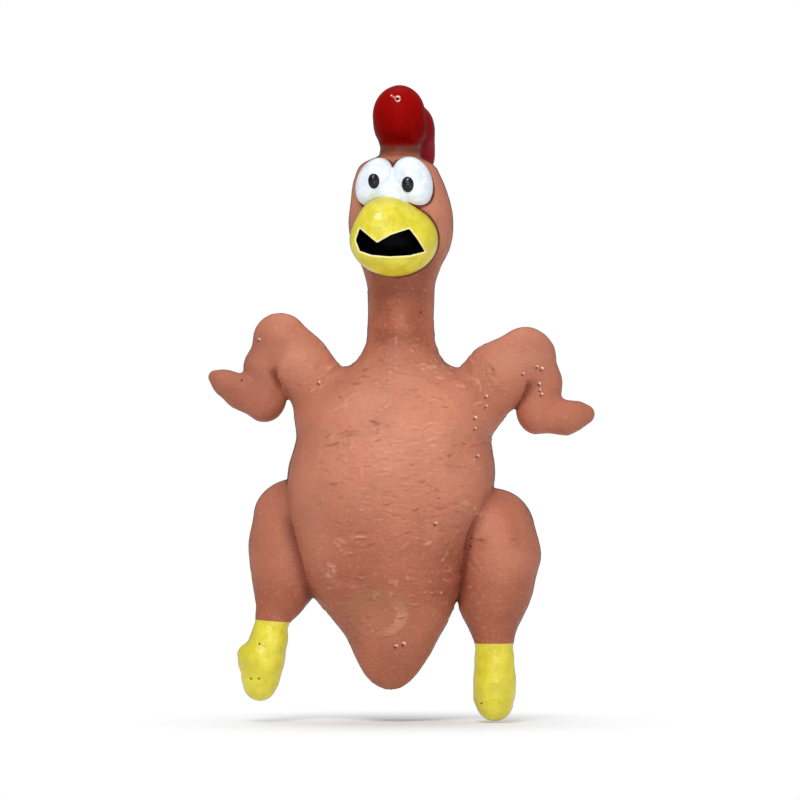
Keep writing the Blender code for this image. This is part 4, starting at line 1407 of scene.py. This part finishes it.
LID_GAP, LID_SUNK, LID_HALF_THICKNESS = 0.3, 0.3, 0.42
DIMPLE = (COLLAR[0] - 2.2, COLLAR[1] - 0.7)
DIMPLE_RADIUS, DIMPLE_DEPTH = 0.45, 0.6


def plug_field(p):
    """A flat lid inside the collar, round on the belly's slope and so lower than wide from the front."""
    away = np.hypot(p[..., 0] - COLLAR[0], (p[..., 2] - COLLAR[1]) * COLLAR_RADII[0] / COLLAR_RADII[1])
    shell = column(p)
    lid = smooth_max(away - PLUG_HALF[0] + LID_GAP, np.abs(shell + LID_SUNK) - LID_HALF_THICKNESS, 0.25)
    dimple = np.hypot(p[..., 0] - DIMPLE[0], p[..., 2] - DIMPLE[1]) - DIMPLE_RADIUS
    return smooth_max(lid, -smooth_max(dimple, -shell - DIMPLE_DEPTH, 0.2), 0.3)


def build_plug(skin):
    low = (PLUG[0] - 8, -16, PLUG[2] - 8)
    high = (PLUG[0] + 8, -5, PLUG[2] + 8)
    points, faces = feature_mesh(plug_field, low, high, FACE_VOXEL, 1)
    attributes = {
        "rest": points * MM,
        "painted_shade": np.zeros(len(points)),
        "relief": 0.1 * noise(points, 2.0),
        "stain": plug_stain(points),
        "lit_tone": painted_light_tone(points),
    }
    group = ("plug_lid", np.ones(len(faces)), skin, "plug", ("belly_plug",))
    feature_pieces(points, faces, "torso", attributes, group)


# ---- floor, light, camera

FRAME_WIDTH = 0.2
LOOK_AT = (-0.0004, 0.0, 0.0801)
LENS = 300.0
FLOOR_DROP, FLOOR_PALE_REACH = 0.0006, 0.075
# name, place, size and watts
LIGHTS = (
    ("key", (-0.15, -0.72, 0.78), 0.35, 6.4),
    ("front", (0.1, -1.0, 0.1), 0.5, 2.2),
    ("fill", (0.6, -0.5, 0.1), 0.6, 1.0),
    ("top", (0.0, 0.1, 0.7), 0.5, 1.0),
)


def make_floor():
    """A pale floor that brightens to the white of the studio away from the toy."""
    material, g = new_material("pale_floor")
    place = g.node("ShaderNodeTexCoord").outputs["Object"]
    pale = g.mix(g.mottle(place, 30.0, 2.0, 0.3, 0.7), grey(0.86), grey(0.9))
    away = g.node("ShaderNodeVectorMath", {"operation": "LENGTH"}, Vector=place).outputs["Value"]
    far = g.mapped(away, 0.0, FLOOR_PALE_REACH)
    base = g.mix(far, pale, grey(0.0))
    g.finish(
        Base_Color=base,
        Roughness=0.8,
        Specular_IOR_Level=0.0,
        Emission_Color=grey(1.0),
        Emission_Strength=far,
    )
    bpy.ops.mesh.primitive_plane_add(size=3.0, location=(0, 0, cad_box[0].z - FLOOR_DROP))
    floor = bpy.context.object
    floor.name = "floor"
    floor.data.materials.append(material)
    return floor


def make_light(name, place, size, watts):
    light = bpy.data.lights.new(name, "AREA")
    light.shape = "DISK"
    light.size = size
    light.energy = watts
    obj = new_object(name, light)
    obj.location = place
    obj.rotation_euler = (Vector(LOOK_AT) - Vector(place)).to_track_quat("-Z", "Y").to_euler()


def make_world(seen, lit):
    """White to the camera, softer as a light source."""
    world = bpy.data.worlds.new("studio")
    world.use_nodes = True
    bpy.context.scene.world = world
    g = Graph(world.node_tree)
    seen_by_camera = g.node("ShaderNodeLightPath").outputs["Is Camera Ray"]
    strength = g.mapped(seen_by_camera, 0.0, 1.0, lit, seen)
    background = g.node("ShaderNodeBackground", Color=grey(1.0), Strength=strength)
    g.node("ShaderNodeOutputWorld", Surface=background.outputs["Background"])


def make_camera():
    camera = new_object("camera", bpy.data.cameras.new("camera"))
    camera.data.lens = LENS
    distance = FRAME_WIDTH * camera.data.lens / camera.data.sensor_width
    camera.location = (LOOK_AT[0], -distance, LOOK_AT[2])
    camera.rotation_euler = (math.radians(90.0), 0.0, 0.0)
    camera.data.clip_end = 20.0
    bpy.context.scene.camera = camera


# ---- put together

skin = split_skin(*build_skin())
build_eyes()
build_beak()
build_plug(skin)
plastic = squeaker_material()
for name in ("squeaker_cup", "squeaker_cap", "squeaker_reed", "squeaker_reed_clip"):
    frame["nodes"][name].data.materials.clear()
    frame["nodes"][name].data.materials.append(plastic)

make_floor()
make_world(seen=1.0, lit=0.34)
for name, place, size, watts in LIGHTS:
    make_light(name, place, size, watts)
bpy.context.scene.view_settings.view_transform = "Standard"
make_camera()
